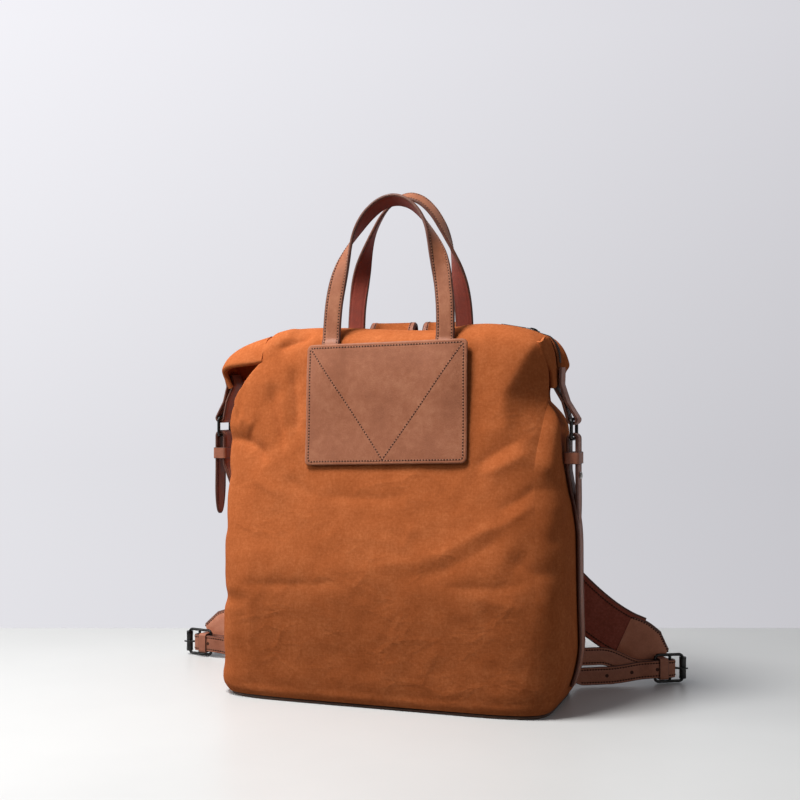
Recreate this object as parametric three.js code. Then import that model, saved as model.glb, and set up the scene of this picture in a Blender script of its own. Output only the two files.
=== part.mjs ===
// Canvas backpack with a folded zip top, leather handles, shoulder straps and buckles.
// Millimetres, +Z up, front towards -Y. The origin is the centre of the face it stands on.
import * as THREE from 'three';

// Driving dimensions
const CLOTH = 2.2;             // canvas wall, two layers at the seams
const LEATHER = 2.4;           // patch, tabs and narrow straps
const SEAM = 0.35;             // clear space between neighbouring pieces
const SEAM_SHARE = 0.0032;     // share of a canvas wall's half width that its seam keeps clear
const HEM_HEIGHT = 3.6;        // canvas edge above the floor
const HANDLE_WIDTH = 18;
const HANDLE_SPACING = 112.5;  // between the legs of one handle
const HANDLE_MIDDLE = -2.7;    // the handles' middle, a little to one side
const HANDLE_THICK = 3.2;
const STRAP_WIDTH = 48;        // shoulder straps
const STRAP_THICK = 3.4;
const LOWER_WIDTH = 17.6;      // leather straps of the buckles
const SIDE_WIDTH = 20;         // leather strips on the gussets
const PATCH_WIDTH = 157;
const PATCH_HEIGHT = 113;
const PATCH_BASE = 221;        // height of the patch's lower edge
const PATCH_TILT = THREE.MathUtils.degToRad(1.6);
const ZIP_WIDTH = 8;           // lies flush in the slot between the top edges
const ZIP_THICK = 1.6;
const MOUTH_HALF = 5;          // half the slot between the top edges of front and back

// The canvas wall from hem to ridge: height, half widths and half depths of the plan outline,
// and how square its corners are.
const SECTION_COLUMNS = ['height', 'left', 'right', 'front', 'back', 'square'];
const SECTIONS = [
  [HEM_HEIGHT, 159, 155, 73, 73, 6.5],
  [14, 163, 161, 76.5, 77, 6.5],
  [38, 164, 165, 78, 78.5, 6.5],
  [109, 164, 163.5, 77, 76, 6],
  [160, 168, 163, 68, 67, 5.5],
  [222, 171, 161, 55.5, 55.5, 5],
  [262, 174, 165, 49, 47, 5],
  [296, 169, 167, 43.5, 39.5, 5],
  [320, 151.5, 163.2, 39.5, 33, 5],
  [335, 151.3, 162.2, 34, 26.5, 5],
  [343, 151.3, 162.2, 24, 19, 5],
  [347, 151.3, 162.2, 13, 11, 5],
  [348, 151.3, 162.2, MOUTH_HALF, MOUTH_HALF, 5],
];
const GUSSET_TOP = 9 / (SECTIONS.length - 1);
const ROOF_START = 300;
const ROOF_LEVEL = 348;

// Height of the ridge across the bag: it droops to the ends and dips between the handles.
const RIDGE_COLUMNS = ['across', 'height'];
const RIDGE = [
  [-132, 343],
  [-107, 349.5],
  [-60, 350],
  [0, 347],
  [38, 346.5],
  [72, 351],
  [98, 350.5],
  [125, 345.5],
  [142, 339],
];

// How far the middle of each gusset is tucked in, by height, and where its seams turn to creases.
// The gussets stand back from the panels' seams where they fold inwards.
const CREASE_START = 255;
const CREASE_FULL = 312;
const TUCK_POWER = 1.8;        // how sharply the tuck turns at the seams
const STAND_BACK = 0.16;       // share of the half depth
const STAND_BACK_START = 225;
const STAND_BACK_FULL = 296;
const TUCK_COLUMNS = ['height', 'depth'];
const TUCK = [
  [185, 0],
  [222, 4],
  [265, 13],
  [300, 32],
  [340, 46],
];

// The folded wings, from the root at the panels' edge to the tip under the leather tab:
// distance from the middle, height of the crown, half span, how far the front and back edges hang,
// and how far the back edge reaches out beyond the front edge.
const HANG_POWER = 3.4;        // how sharply the wing's edges turn down
const WING_COLUMNS = ['reach', 'height', 'half', 'front', 'back', 'skew'];
const WINGS = {
  left: [
    [132.4, 343.3, 35, 24, 24, 0],
    [152, 337.5, 33, 20, 27, -3],
    [169, 330, 27, 14, 27, -4],
    [180, 320, 20, 8, 18, -4],
    [182.5, 308, 14, 4, 6, -2],
    [179.5, 294, 11, 2, 2, 0],
  ],
  right: [
    [143, 339, 26, 5, 9, 0],
    [146.5, 336, 25, 8, 14, 6],
    [150, 330.5, 22, 9, 14, 10],
    [152.5, 321.5, 18, 7, 9, 10],
    [153, 310, 14, 4, 4, 4],
    [152.5, 294.5, 11, 2, 2, 0],
  ],
};

// Leather, cloth and metal as they look in daylight.
const FINISH = {
  canvas: { color: 0xb5692f, roughness: 0.9, metalness: 0 },
  leather: { color: 0xa06c52, roughness: 0.6, metalness: 0 },
  dark_leather: { color: 0x4a2a1c, roughness: 0.7, metalness: 0 },
  strap: { color: 0x6f3326, roughness: 0.9, metalness: 0 },
  metal: { color: 0x2b2a2a, roughness: 0.4, metalness: 0.9 },
  bright: { color: 0xb9b7b2, roughness: 0.35, metalness: 0.9 },
  zip: { color: 0x4a3122, roughness: 0.8, metalness: 0.1 },
};

const backpack = new THREE.Group();
const SIDES = { left: -1, right: 1 };

function add(name, geometry, finish) {
  const mesh = new THREE.Mesh(geometry, new THREE.MeshStandardMaterial(FINISH[finish]));
  mesh.name = name;
  backpack.add(mesh);
}

// Smooth value of one table column at a place given in another column, or at a row fraction.
function column(rows, names, name) {
  return rows.map((row) => row[names.indexOf(name)]);
}

function smooth(places, values, at) {
  const last = places.length - 1;
  const clamped = THREE.MathUtils.clamp(at, places[0], places[last]);
  let row = 0;
  while (row < last - 1 && clamped > places[row + 1]) {
    row += 1;
  }
  const slope = (index) => {
    const before = Math.max(index - 1, 0);
    const after = Math.min(index + 1, last);
    return (values[after] - values[before]) / (places[after] - places[before]);
  };
  const span = places[row + 1] - places[row];
  const t = (clamped - places[row]) / span;
  const t2 = t * t;
  const t3 = t2 * t;
  return values[row] * (2 * t3 - 3 * t2 + 1)
    + slope(row) * span * (t3 - 2 * t2 + t)
    + values[row + 1] * (3 * t2 - 2 * t3)
    + slope(row + 1) * span * (t3 - t2);
}

function tableAt(rows, names, key, at, name) {
  return smooth(column(rows, names, key), column(rows, names, name), at);
}

// One section of the canvas wall; the fraction runs from 0 at the hem to 1 at the ridge.
function sectionAt(fraction) {
  const places = SECTIONS.map((row, index) => index / (SECTIONS.length - 1));
  const read = (name) => smooth(places, column(SECTIONS, SECTION_COLUMNS, name), fraction);
  return Object.fromEntries(SECTION_COLUMNS.map((name) => [name, read(name)]));
}

// Fraction of the wall at which it reaches a height below the roof.
const HALVINGS = 40;
function fractionAt(height) {
  let low = 0;
  let high = 1;
  for (let step = 0; step < HALVINGS; step += 1) {
    const middle = (low + high) / 2;
    if (sectionAt(middle).height < height) {
      low = middle;
    } else {
      high = middle;
    }
  }
  return low;
}

// The ridge's droop fades out below the roof.
function roofShift(x, height) {
  const share = THREE.MathUtils.smoothstep(height, ROOF_START, ROOF_LEVEL);
  return share * (tableAt(RIDGE, RIDGE_COLUMNS, 'across', x, 'height') - ROOF_LEVEL);
}

// Front or back wall: across runs from -1 at the left seam to 1 at the right seam.
function panelPoint(face, across, fraction) {
  const section = sectionAt(fraction);
  const corner = 2 ** (-1 / section.square);
  const half = across < 0 ? section.left : section.right;
  const depth = face === 'front' ? -section.front : section.back;
  const share = Math.abs(corner * across);
  const x = half * corner * across;
  const y = depth * (1 - share ** section.square) ** (1 / section.square);
  return new THREE.Vector3(x, y, section.height + roofShift(x, section.height));
}

// Side wall: along runs from -1 at the front seam to 1 at the back seam.
function gussetPoint(side, along, fraction) {
  const section = sectionAt(fraction);
  const corner = 2 ** (-1 / section.square);
  const depth = along < 0 ? section.front : section.back;
  const half = side === 'left' ? section.left : section.right;
  const share = Math.abs(corner * along);
  const round = half * (1 - share ** section.square) ** (1 / section.square);
  const creased = THREE.MathUtils.smoothstep(section.height, CREASE_START, CREASE_FULL);
  const reach = THREE.MathUtils.lerp(round, half * corner, creased);
  const fold = 1 - Math.abs(along) ** TUCK_POWER;
  const tuck = fold * tableAt(TUCK, TUCK_COLUMNS, 'height', section.height, 'depth');
  const x = SIDES[side] * (reach - tuck);
  const shift = roofShift(SIDES[side] * reach, section.height);
  return new THREE.Vector3(x, depth * corner * along, section.height + shift);
}

// Folded wing: along runs from 0 at its root to 1 at its tip, across from -1 to 1.
function wingPoint(side, across, along) {
  const rows = WINGS[side];
  const places = rows.map((row, index) => index / (rows.length - 1));
  const read = (name) => smooth(places, column(rows, WING_COLUMNS, name), along);
  const droop = read(across < 0 ? 'front' : 'back') * Math.abs(across) ** HANG_POWER;
  const reach = read('reach') + (read('skew') * across) / 2;
  return new THREE.Vector3(SIDES[side] * reach, read('half') * across, read('height') - droop);
}

// Point, outward normal and tangents of a surface given as point(u, v).
function surfaceFrame(point, u, v) {
  const step = 1e-3;
  const du = point(Math.min(u + step, 1), v).sub(point(Math.max(u - step, -1), v)).normalize();
  const dv = point(u, Math.min(v + step, 1)).sub(point(u, Math.max(v - step, 0))).normalize();
  return { point: point(u, v), normal: du.clone().cross(dv).normalize(), du, dv };
}

// Closed geometry from points and triangles, with its faces turned outwards.
function closedGeometry(points, triangles) {
  let volume = 0;
  for (const [a, b, c] of triangles) {
    volume += points[a].dot(points[b].clone().cross(points[c]));
  }
  const ordered = volume > 0 ? triangles : triangles.map(([a, b, c]) => [a, c, b]);
  const geometry = new THREE.BufferGeometry();
  geometry.setAttribute('position', new THREE.Float32BufferAttribute(points.flatMap((p) => p.toArray()), 3));
  geometry.setIndex(ordered.flat());
  geometry.computeVertexNormals();
  return geometry;
}

// A wall of even thickness: the outer grid of points, the inner grid and the rim between them.
function wall(outer, inner) {
  const rows = outer.length;
  const cols = outer[0].length;
  const points = [...outer.flat(), ...inner.flat()];
  const offset = rows * cols;
  const triangles = [];
  const quad = (a, b, c, d) => triangles.push([a, b, c], [a, c, d]);
  for (let i = 0; i + 1 < rows; i += 1) {
    for (let j = 0; j + 1 < cols; j += 1) {
      const a = i * cols + j;
      quad(a, a + 1, a + cols + 1, a + cols);
      quad(offset + a, offset + a + cols, offset + a + cols + 1, offset + a + 1);
    }
  }
  const rim = [];
  for (let j = 0; j < cols - 1; j += 1) {
    rim.push(j);
  }
  for (let i = 0; i < rows - 1; i += 1) {
    rim.push(i * cols + cols - 1);
  }
  for (let j = cols - 1; j > 0; j -= 1) {
    rim.push((rows - 1) * cols + j);
  }
  for (let i = rows - 1; i > 0; i -= 1) {
    rim.push(i * cols);
  }
  rim.forEach((here, index) => {
    const next = rim[(index + 1) % rim.length];
    quad(here, offset + here, offset + next, next);
  });
  return closedGeometry(points, triangles);
}

// A cloth or leather wall on a surface; lift is the outer face's height above the surface.
function clothWall(point, us, vs, thickness, lift, outwards) {
  const layer = (height) => vs.map((v) => us.map((u) => {
    const frame = surfaceFrame(point, u, v);
    const sign = Math.sign(frame.normal.dot(outwards)) || 1;
    return frame.point.addScaledVector(frame.normal, sign * height);
  }));
  return wall(layer(lift), layer(lift - thickness));
}

function spread(from, to, count) {
  return Array.from({ length: count + 1 }, (_, index) => from + ((to - from) * index) / count);
}

// A flat band along stations, each with its point, the unit vectors across and through it,
// and its own width.
function band(stations, thickness) {
  const points = [];
  for (const { point, across, through, width } of stations) {
    for (const [u, w] of [[-1, -1], [1, -1], [1, 1], [-1, 1]]) {
      const corner = point.clone().addScaledVector(across, (u * width) / 2);
      points.push(corner.addScaledVector(through, (w * thickness) / 2));
    }
  }
  const count = stations.length;
  const triangles = [];
  for (let i = 0; i + 1 < count; i += 1) {
    for (let k = 0; k < 4; k += 1) {
      const a = i * 4 + k;
      const b = i * 4 + ((k + 1) % 4);
      triangles.push([a, b, b + 4], [a, b + 4, a + 4]);
    }
  }
  const last = (count - 1) * 4;
  triangles.push([0, 2, 1], [0, 3, 2], [last, last + 1, last + 2], [last, last + 2, last + 3]);
  return closedGeometry(points, triangles);
}

// Stations along a curve through points; the direction across is chosen at each place.
function stationsAlong(points, count, width, acrossAt) {
  const curve = new THREE.CatmullRomCurve3(points, false, 'centripetal');
  return spread(0, 1, count).map((t) => {
    const along = curve.getTangentAt(t);
    const wanted = acrossAt(t, along, curve.getPointAt(t));
    const across = wanted.addScaledVector(along, -wanted.dot(along)).normalize();
    const through = along.clone().cross(across).normalize();
    return { point: curve.getPointAt(t), across, through, width };
  });
}

// Stations at the points themselves, for strips with tight folds.
function stationsAt(points, width, across) {
  return points.map((point, index) => {
    const before = points[Math.max(index - 1, 0)];
    const after = points[Math.min(index + 1, points.length - 1)];
    const along = after.clone().sub(before).normalize();
    return { point, across, through: along.cross(across).normalize(), width };
  });
}

// Canvas walls
const PANEL_ACROSS = 14;
const PANEL_UP = 18;
const upwards = spread(0, 1, PANEL_UP);
const outFront = new THREE.Vector3(0, -1, 0);
const AXIS_Z = new THREE.Vector3(0, 0, 1);
const outBack = new THREE.Vector3(0, 1, 0);
const acrossPanel = spread(SEAM_SHARE - 1, 1 - SEAM_SHARE, PANEL_ACROSS);
for (const [face, outwards] of [['front', outFront], ['back', outBack]]) {
  const point = (across, fraction) => panelPoint(face, across, fraction);
  add(`${face}_panel`, clothWall(point, acrossPanel, upwards, CLOTH, 0, outwards), 'canvas');
}

const GUSSET_ACROSS = 8;
const GUSSET_UP = 16;
const acrossGusset = spread(-1, 1, GUSSET_ACROSS);
const upGusset = spread(0, GUSSET_TOP, GUSSET_UP);
for (const side of Object.keys(SIDES)) {
  const outwards = new THREE.Vector3(SIDES[side], 0, 0);
  const point = (along, fraction) => {
    const height = sectionAt(fraction).height;
    const fold = THREE.MathUtils.smoothstep(height, STAND_BACK_START, STAND_BACK_FULL);
    const limit = 1 - THREE.MathUtils.lerp(2 * SEAM_SHARE, STAND_BACK, fold);
    return gussetPoint(side, along * limit, fraction);
  };
  add(`gusset_${side}`, clothWall(point, acrossGusset, upGusset, CLOTH, 0, outwards), 'canvas');
}

const WING_ACROSS = 8;
const WING_ALONG = 9;
for (const side of Object.keys(SIDES)) {
  const point = (across, along) => wingPoint(side, across, along);
  const outwards = new THREE.Vector3(SIDES[side], 0, 1);
  const wing = clothWall(point, spread(-1, 1, WING_ACROSS), spread(0, 1, WING_ALONG), CLOTH, 0, outwards);
  add(`wing_${side}`, wing, 'canvas');
}

// Leather base, inside the canvas hem
const BASE_INSET = 1.2;
const BASE_SIDES = 56;
function planOutline(inset) {
  const section = sectionAt(0);
  const outline = [];
  for (let index = 0; index < BASE_SIDES; index += 1) {
    const angle = (2 * Math.PI * index) / BASE_SIDES;
    const power = 2 / section.square;
    const cos = Math.cos(angle);
    const sin = Math.sin(angle);
    const half = (cos < 0 ? section.left : section.right) - inset;
    const depth = (sin < 0 ? section.front : section.back) - inset;
    const x = Math.sign(cos) * half * Math.abs(cos) ** power;
    const y = Math.sign(sin) * depth * Math.abs(sin) ** power;
    outline.push(new THREE.Vector2(x, y));
  }
  return outline;
}
const baseThick = HEM_HEIGHT - 2 * SEAM;
const baseShape = new THREE.Shape(planOutline(BASE_INSET));
const baseGeometry = new THREE.ExtrudeGeometry(baseShape, { depth: baseThick, bevelEnabled: false });
add('base_panel', baseGeometry, 'dark_leather');

// Zip over the mouth and out along both wings
function wingFrame(side, along) {
  const point = (across, at) => wingPoint(side, across, at);
  const frame = surfaceFrame(point, 0, along);
  const sign = Math.sign(frame.normal.dot(new THREE.Vector3(SIDES[side], 0, 1)));
  return { point: frame.point, normal: frame.normal.multiplyScalar(sign), across: frame.du };
}
const ZIP_LIFT = 0.8;          // above the wings
const ZIP_SINK = 1.4;          // below the ridge
const ZIP_FLAT = [-122, 132];  // stretch along the ridge
const ZIP_FLAT_STEPS = 22;
const ZIP_WING_FROM = 0.02;    // shares of a wing's length
const ZIP_WING_TO = 0.8;
const ZIP_WING_STEPS = 8;
const zipStations = [];
function zipStation({ point, normal, across }, lift) {
  const middle = point.clone().addScaledVector(normal, lift + ZIP_THICK / 2);
  zipStations.push({ point: middle, across, through: normal, width: ZIP_WIDTH });
}
for (const along of spread(ZIP_WING_TO, ZIP_WING_FROM, ZIP_WING_STEPS)) {
  zipStation(wingFrame('left', along), ZIP_LIFT);
}
for (const x of spread(...ZIP_FLAT, ZIP_FLAT_STEPS)) {
  const height = ROOF_LEVEL + roofShift(x, ROOF_LEVEL);
  const point = new THREE.Vector3(x, 0, height);
  zipStation({ point, normal: AXIS_Z, across: outBack }, -ZIP_SINK);
}
for (const along of spread(ZIP_WING_FROM, ZIP_WING_TO, ZIP_WING_STEPS)) {
  zipStation(wingFrame('right', along), ZIP_LIFT);
}
add('zip_tape', band(zipStations, ZIP_THICK), 'zip');

// Point of the front or back wall at a distance from the middle and a height.
function wallAt(face, x, height) {
  const fraction = fractionAt(height);
  const section = sectionAt(fraction);
  const half = x < 0 ? section.left : section.right;
  const across = x / (half * 2 ** (-1 / section.square));
  return panelPoint(face, across, fraction);
}

// Point lifted off the front or back wall, square to it.
function offWall(face, x, height, lift) {
  const step = 2;
  const here = wallAt(face, x, height);
  const up = wallAt(face, x, height + step).sub(wallAt(face, x, height - step));
  const beside = wallAt(face, x + step, height).sub(wallAt(face, x - step, height));
  const normal = beside.cross(up).normalize();
  return here.addScaledVector(normal, face === 'front' ? lift : -lift);
}

// Leather patch, rising towards the top where the handle's ends lie under it
const PATCH_RISE_FROM = 0.2;
const PATCH_RISE_TO = 0.86;
const PATCH_STEPS = 10;
function patchPoint(u, v) {
  const along = (u * PATCH_WIDTH) / 2;
  const up = (v - 0.5) * PATCH_HEIGHT;
  const x = along * Math.cos(PATCH_TILT) - up * Math.sin(PATCH_TILT);
  const height = PATCH_BASE + PATCH_HEIGHT / 2 + along * Math.sin(PATCH_TILT) + up * Math.cos(PATCH_TILT);
  const rise = THREE.MathUtils.smoothstep(v, PATCH_RISE_FROM, PATCH_RISE_TO) * (HANDLE_THICK + 5 * SEAM);
  const lift = 3 * SEAM + LEATHER + rise;
  return wallAt('front', x, height).addScaledVector(outFront, lift);
}
const patch = clothWall(
  patchPoint, spread(-1, 1, PATCH_STEPS), spread(0, 1, PATCH_STEPS), LEATHER, 0, outFront,
);
add('front_patch', patch, 'leather');

// Handles: flat on the wall at both ends, turning a quarter on the way up to the arch
// low and leave bound the sewn stretch, turn gives the shares of the rise between which a leg turns,
// and tilt lifts the arch's front edge above its back edge, in degrees.
const HANDLES = {
  front: {
    outwards: outFront, low: 322, leave: 344, baseY: -35, topY: -16, top: 470, turn: [0.3, 0.93], tilt: 27,
  },
  back: {
    outwards: outBack, low: 314, leave: 338, baseY: 30.5, topY: 24, top: 479, turn: [0.2, 0.82], tilt: -28,
  },
};
const LEAN_POWER = 1.3;        // how the legs lean in towards the arch
const SEWN_SHORT = 9;          // the sewn stretch stops this far below the leaving point
const SEWN_STEPS = 3;
const ARCH_STEPS = 14;
const HANDLE_STEPS = 44;
for (const [face, handle] of Object.entries(HANDLES)) {
  const half = HANDLE_SPACING / 2;
  const rise = handle.top - handle.leave;
  const sewn = spread(handle.low, handle.leave - SEWN_SHORT, SEWN_STEPS);
  const leg = (side) => sewn.map((height) => (
    offWall(face, HANDLE_MIDDLE + side * half, height, 2 * SEAM + HANDLE_THICK / 2)
  ));
  const arch = spread(0, Math.PI, ARCH_STEPS).map((angle) => {
    const up = Math.sin(angle);
    const y = THREE.MathUtils.lerp(handle.baseY, handle.topY, up ** LEAN_POWER);
    return new THREE.Vector3(HANDLE_MIDDLE - half * Math.cos(angle), y, handle.leave + rise * up);
  });
  const route = [...leg(-1), ...arch, ...leg(1).reverse()];
  const facing = -handle.outwards.y;
  const tilt = THREE.MathUtils.degToRad(handle.tilt);
  const acrossAt = (t, along, point) => {
    const share = (point.z - handle.leave) / rise;
    const quarter = (Math.PI / 2) * THREE.MathUtils.smoothstep(share, ...handle.turn);
    const turn = t < 0.5 ? quarter : Math.PI - quarter;
    const level = new THREE.Vector3(facing * Math.cos(turn), -Math.sin(turn) * Math.cos(tilt), 0);
    return level.setZ(Math.sin(turn) * Math.sin(tilt));
  };
  const stations = stationsAlong(route, HANDLE_STEPS, HANDLE_WIDTH, acrossAt);
  add(`handle_${face}`, band(stations, HANDLE_THICK), 'leather');
}

// Shoulder straps: sewn to the back near the ridge, over a hump and down behind to the floor.
// Each row is one place on the middle of the hanging strap, as x, y and z.
const STRAPS = {
  left: [
    [-28, 44.5, 330],
    [-28, 49, 350],
    [-28, 56, 356],
    [-29, 63, 350],
    [-32, 66, 325],
    [-46, 71, 275],
    [-70, 79, 215],
    [-104, 88, 150],
    [-142, 95, 96],
    [-180, 99, 58],
    [-208, 101, 39],
    [-230, 101, 31],
  ],
  right: [
    [28, 44.5, 330],
    [28, 49, 350],
    [28, 56, 356],
    [29, 63, 350],
    [31, 66, 325],
    [42, 71, 275],
    [62, 79, 215],
    [92, 90, 152],
    [123, 97, 110],
    [149, 101, 82],
    [174, 108, 60],
    [193, 112, 48],
    [206, 116, 42],
  ],
};
const STRAP_LOW = 276;
const STRAP_SEWN = 304;
const STRAP_TURN_FROM = 0.3;   // shares of the length between which the strap turns on edge
const STRAP_TURN_TO = 0.5;
const STRAP_STEPS = 40;
const AXIS_X = new THREE.Vector3(1, 0, 0);
const strapEnds = {};
for (const side of Object.keys(SIDES)) {
  const hanging = STRAPS[side].map(([x, y, z]) => new THREE.Vector3(x, y, z));
  const sewn = spread(STRAP_LOW, STRAP_SEWN, SEWN_STEPS).map((height) => (
    offWall('back', hanging[0].x, height, 2 * SEAM + STRAP_THICK / 2)
  ));
  const acrossAt = (t, along) => {
    const level = AXIS_X.clone().addScaledVector(along, -AXIS_X.dot(along)).normalize();
    const upright = along.clone().cross(outBack).normalize();
    return level.lerp(upright, THREE.MathUtils.smoothstep(t, STRAP_TURN_FROM, STRAP_TURN_TO));
  };
  const stations = stationsAlong([...sewn, ...hanging], STRAP_STEPS, STRAP_WIDTH, acrossAt);
  strapEnds[side] = stations[stations.length - 1];
  add(`shoulder_strap_${side}`, band(stations, STRAP_THICK), 'strap');
}

// A rounded frame with windows, drawn flat and given a thickness; windows are [from, to, half height].
const CORNER_STEPS = 3;
function windowFrame(from, to, half, windows, radius, thick) {
  const corners = [[to, -half], [to, half], [from, half], [from, -half]];
  const outline = corners.flatMap(([x, y], index) => {
    const centreX = x - Math.sign(x - (from + to) / 2) * radius;
    const centreY = y - Math.sign(y) * radius;
    const first = (index - 1) * (Math.PI / 2);
    return spread(first, first + Math.PI / 2, CORNER_STEPS).map((angle) => (
      new THREE.Vector2(centreX + radius * Math.cos(angle), centreY + radius * Math.sin(angle))
    ));
  });
  const shape = new THREE.Shape(outline);
  for (const [start, end, edge] of windows) {
    const hole = [[start, -edge], [start, edge], [end, edge], [end, -edge]];
    shape.holes.push(new THREE.Path(hole.map(([x, y]) => new THREE.Vector2(x, y))));
  }
  const geometry = new THREE.ExtrudeGeometry(shape, { depth: thick, bevelEnabled: false });
  return geometry.translate(0, 0, -thick / 2);
}

// Turn a shape drawn in x and y so that x lies along one direction and y along another.
function place(geometry, origin, along, up) {
  const through = along.clone().cross(up);
  const turn = new THREE.Matrix4().makeBasis(along, up, through).setPosition(origin);
  return geometry.applyMatrix4(turn);
}

// Buckles stand on edge on the floor; their straps fold round the middle bar.
const BUCKLE_AT = { left: [-266, 90], right: [238, 121] };
const BUCKLE_HALF = 14.6;
const BUCKLE_INSIDE = 10.8;
const BUCKLE_WIRE = 3;
const BUCKLE_HEEL = -17;
const BUCKLE_TOE = 15;
const BUCKLE_CORNER = 4;       // radius
const FOLD_RADIUS = 4.2;       // middle of the leather round a bar
const FOLD_ANGLE = 60;         // degrees of the fold drawn on each side of its far end
const FOLD_STEPS = 4;
const LAYER_HALF = 1.7;        // half the distance between the two layers of a strap
const PART_FROM = -34;         // the layers part between these places before the bar
const PART_TO = -19;
const STRAP_CORNER = 22;       // height of the corner that the lower straps leave from
const STRAP_CLEAR = 1.5;       // clear space at that corner
const STRAP_RISE = 14;         // how far the strap climbs from the buckle to the corner
const CLIMB_FROM = 28;         // it climbs between these distances from the bar
const CLIMB_TO = 72;
const TAIL_SHORT = 4;          // how far the tail stops short of the corner
const TAIL_SINK = 4.6;         // how far the tail sinks towards the floor
const SINK_FROM = 15;          // it sinks between these distances from the bar
const SINK_TO = 66;
const LOWER_STEPS = 12;
const KEEPER_FROM = -13;
const KEEPER_TO = -3.5;
const KEEPER_WALL = 1.1;
const KEEPER_CORNER = 1;       // radius
const ROLLER_HOLE = 2.5;
const ROLLER_RADIUS = 3.5;
const ROUND_SIDES = 12;        // of turned pieces
const PRONG_THICK = 2;
const PRONG_BEND = 2;          // from its root to its bend
const PRONG_OUT = [0.5, 2.5];  // how far root and bend stand in front of the bar
const PRONG_REST = [-4, 1.5];  // stretch along the toe on which it lies
const TAB_SHOULDER = 0.9;      // share of the strap's width at the middle of its tab
const TAB_END = -6;            // the tab's end lies behind the bar, a little above the strap's middle
const TAB_BACK = 8.8;
const TAB_RISE = 7;
const TAB_END_WIDTH = 26;
const LOWER_LEVEL = BUCKLE_HALF + SEAM;
for (const side of Object.keys(SIDES)) {
  const corner = panelPoint('back', SIDES[side], fractionAt(STRAP_CORNER)).setZ(LOWER_LEVEL);
  const bar = new THREE.Vector3(...BUCKLE_AT[side], LOWER_LEVEL);
  const along = bar.clone().sub(corner).normalize();
  const behind = new THREE.Vector3(-along.y, along.x, 0).multiplyScalar(SIDES[side]);
  const length = bar.distanceTo(corner);
  const at = (distance, back) => (
    bar.clone().addScaledVector(along, distance).addScaledVector(behind, back)
  );

  // Lower strap: one layer out from the corner, round the bar, and the tail back in front
  const half = (distance) => {
    const spreadOut = THREE.MathUtils.smoothstep(distance, PART_FROM, PART_TO);
    return THREE.MathUtils.lerp(LAYER_HALF, FOLD_RADIUS, spreadOut);
  };
  const climb = (distance) => STRAP_RISE * THREE.MathUtils.smoothstep(-distance, CLIMB_FROM, CLIMB_TO);
  const sink = (distance) => TAIL_SINK * THREE.MathUtils.smoothstep(-distance, SINK_FROM, SINK_TO);
  const out = spread(STRAP_CLEAR - length, 0, LOWER_STEPS).map((distance) => (
    at(distance, half(distance)).setZ(LOWER_LEVEL + climb(distance))
  ));
  const round = spread(FOLD_ANGLE, -FOLD_ANGLE, FOLD_STEPS).map((degrees) => {
    const angle = THREE.MathUtils.degToRad(degrees);
    return at(FOLD_RADIUS * Math.cos(angle), FOLD_RADIUS * Math.sin(angle));
  });
  const tail = spread(0, TAIL_SHORT - length, LOWER_STEPS).map((distance) => (
    at(distance, -half(distance)).setZ(LOWER_LEVEL - sink(distance))
  ));
  const strap = stationsAt([...out, ...round, ...tail], LOWER_WIDTH, AXIS_Z);
  add(`lower_strap_${side}`, band(strap, LEATHER), 'leather');

  // Buckle frame with heel, middle bar and toe, the roller on its toe and the prong
  const middle = BUCKLE_WIRE / 2;
  const windows = [
    [BUCKLE_HEEL + BUCKLE_WIRE, -middle, BUCKLE_INSIDE],
    [middle, BUCKLE_TOE - BUCKLE_WIRE, BUCKLE_INSIDE - SEAM],
  ];
  const frame = windowFrame(BUCKLE_HEEL, BUCKLE_TOE, BUCKLE_HALF, windows, BUCKLE_CORNER, BUCKLE_WIRE);
  add(`buckle_frame_${side}`, place(frame, bar, along, AXIS_Z), 'metal');

  const rollerHalf = BUCKLE_INSIDE - 2 * SEAM;
  const ring = [
    new THREE.Vector2(ROLLER_HOLE, -rollerHalf),
    new THREE.Vector2(ROLLER_RADIUS, -rollerHalf),
    new THREE.Vector2(ROLLER_RADIUS, rollerHalf),
    new THREE.Vector2(ROLLER_HOLE, rollerHalf),
    new THREE.Vector2(ROLLER_HOLE, -rollerHalf),
  ];
  const roller = new THREE.LatheGeometry(ring, ROUND_SIDES).rotateX(Math.PI / 2);
  const toe = at(BUCKLE_TOE - middle, 0);
  add(`buckle_roller_${side}`, roller.translate(toe.x, toe.y, toe.z), 'metal');

  const prongRoot = FOLD_RADIUS + LEATHER / 2 + 2 * SEAM;
  const prongRest = ROLLER_RADIUS + PRONG_THICK / 2 + SEAM;
  const prongRoute = [
    at(prongRoot, -PRONG_OUT[0]),
    at(prongRoot + PRONG_BEND, -PRONG_OUT[1]),
    at(BUCKLE_TOE + PRONG_REST[0], -prongRest),
    at(BUCKLE_TOE + PRONG_REST[1], -prongRest),
  ];
  const prong = stationsAt(prongRoute, PRONG_THICK, AXIS_Z);
  add(`buckle_prong_${side}`, band(prong, PRONG_THICK), 'metal');

  // Keeper round both layers, inside the buckle's heel window
  const reach = FOLD_RADIUS + LEATHER / 2 + SEAM;
  const keeperHalf = LOWER_WIDTH / 2 + SEAM;
  const sleeve = windowFrame(-reach - KEEPER_WALL, reach + KEEPER_WALL, keeperHalf + KEEPER_WALL,
    [[-reach, reach, keeperHalf]], KEEPER_CORNER, KEEPER_TO - KEEPER_FROM);
  const keeperMiddle = at((KEEPER_FROM + KEEPER_TO) / 2, 0);
  add(`strap_keeper_${side}`, place(sleeve, keeperMiddle, behind, AXIS_Z), 'leather');

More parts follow.
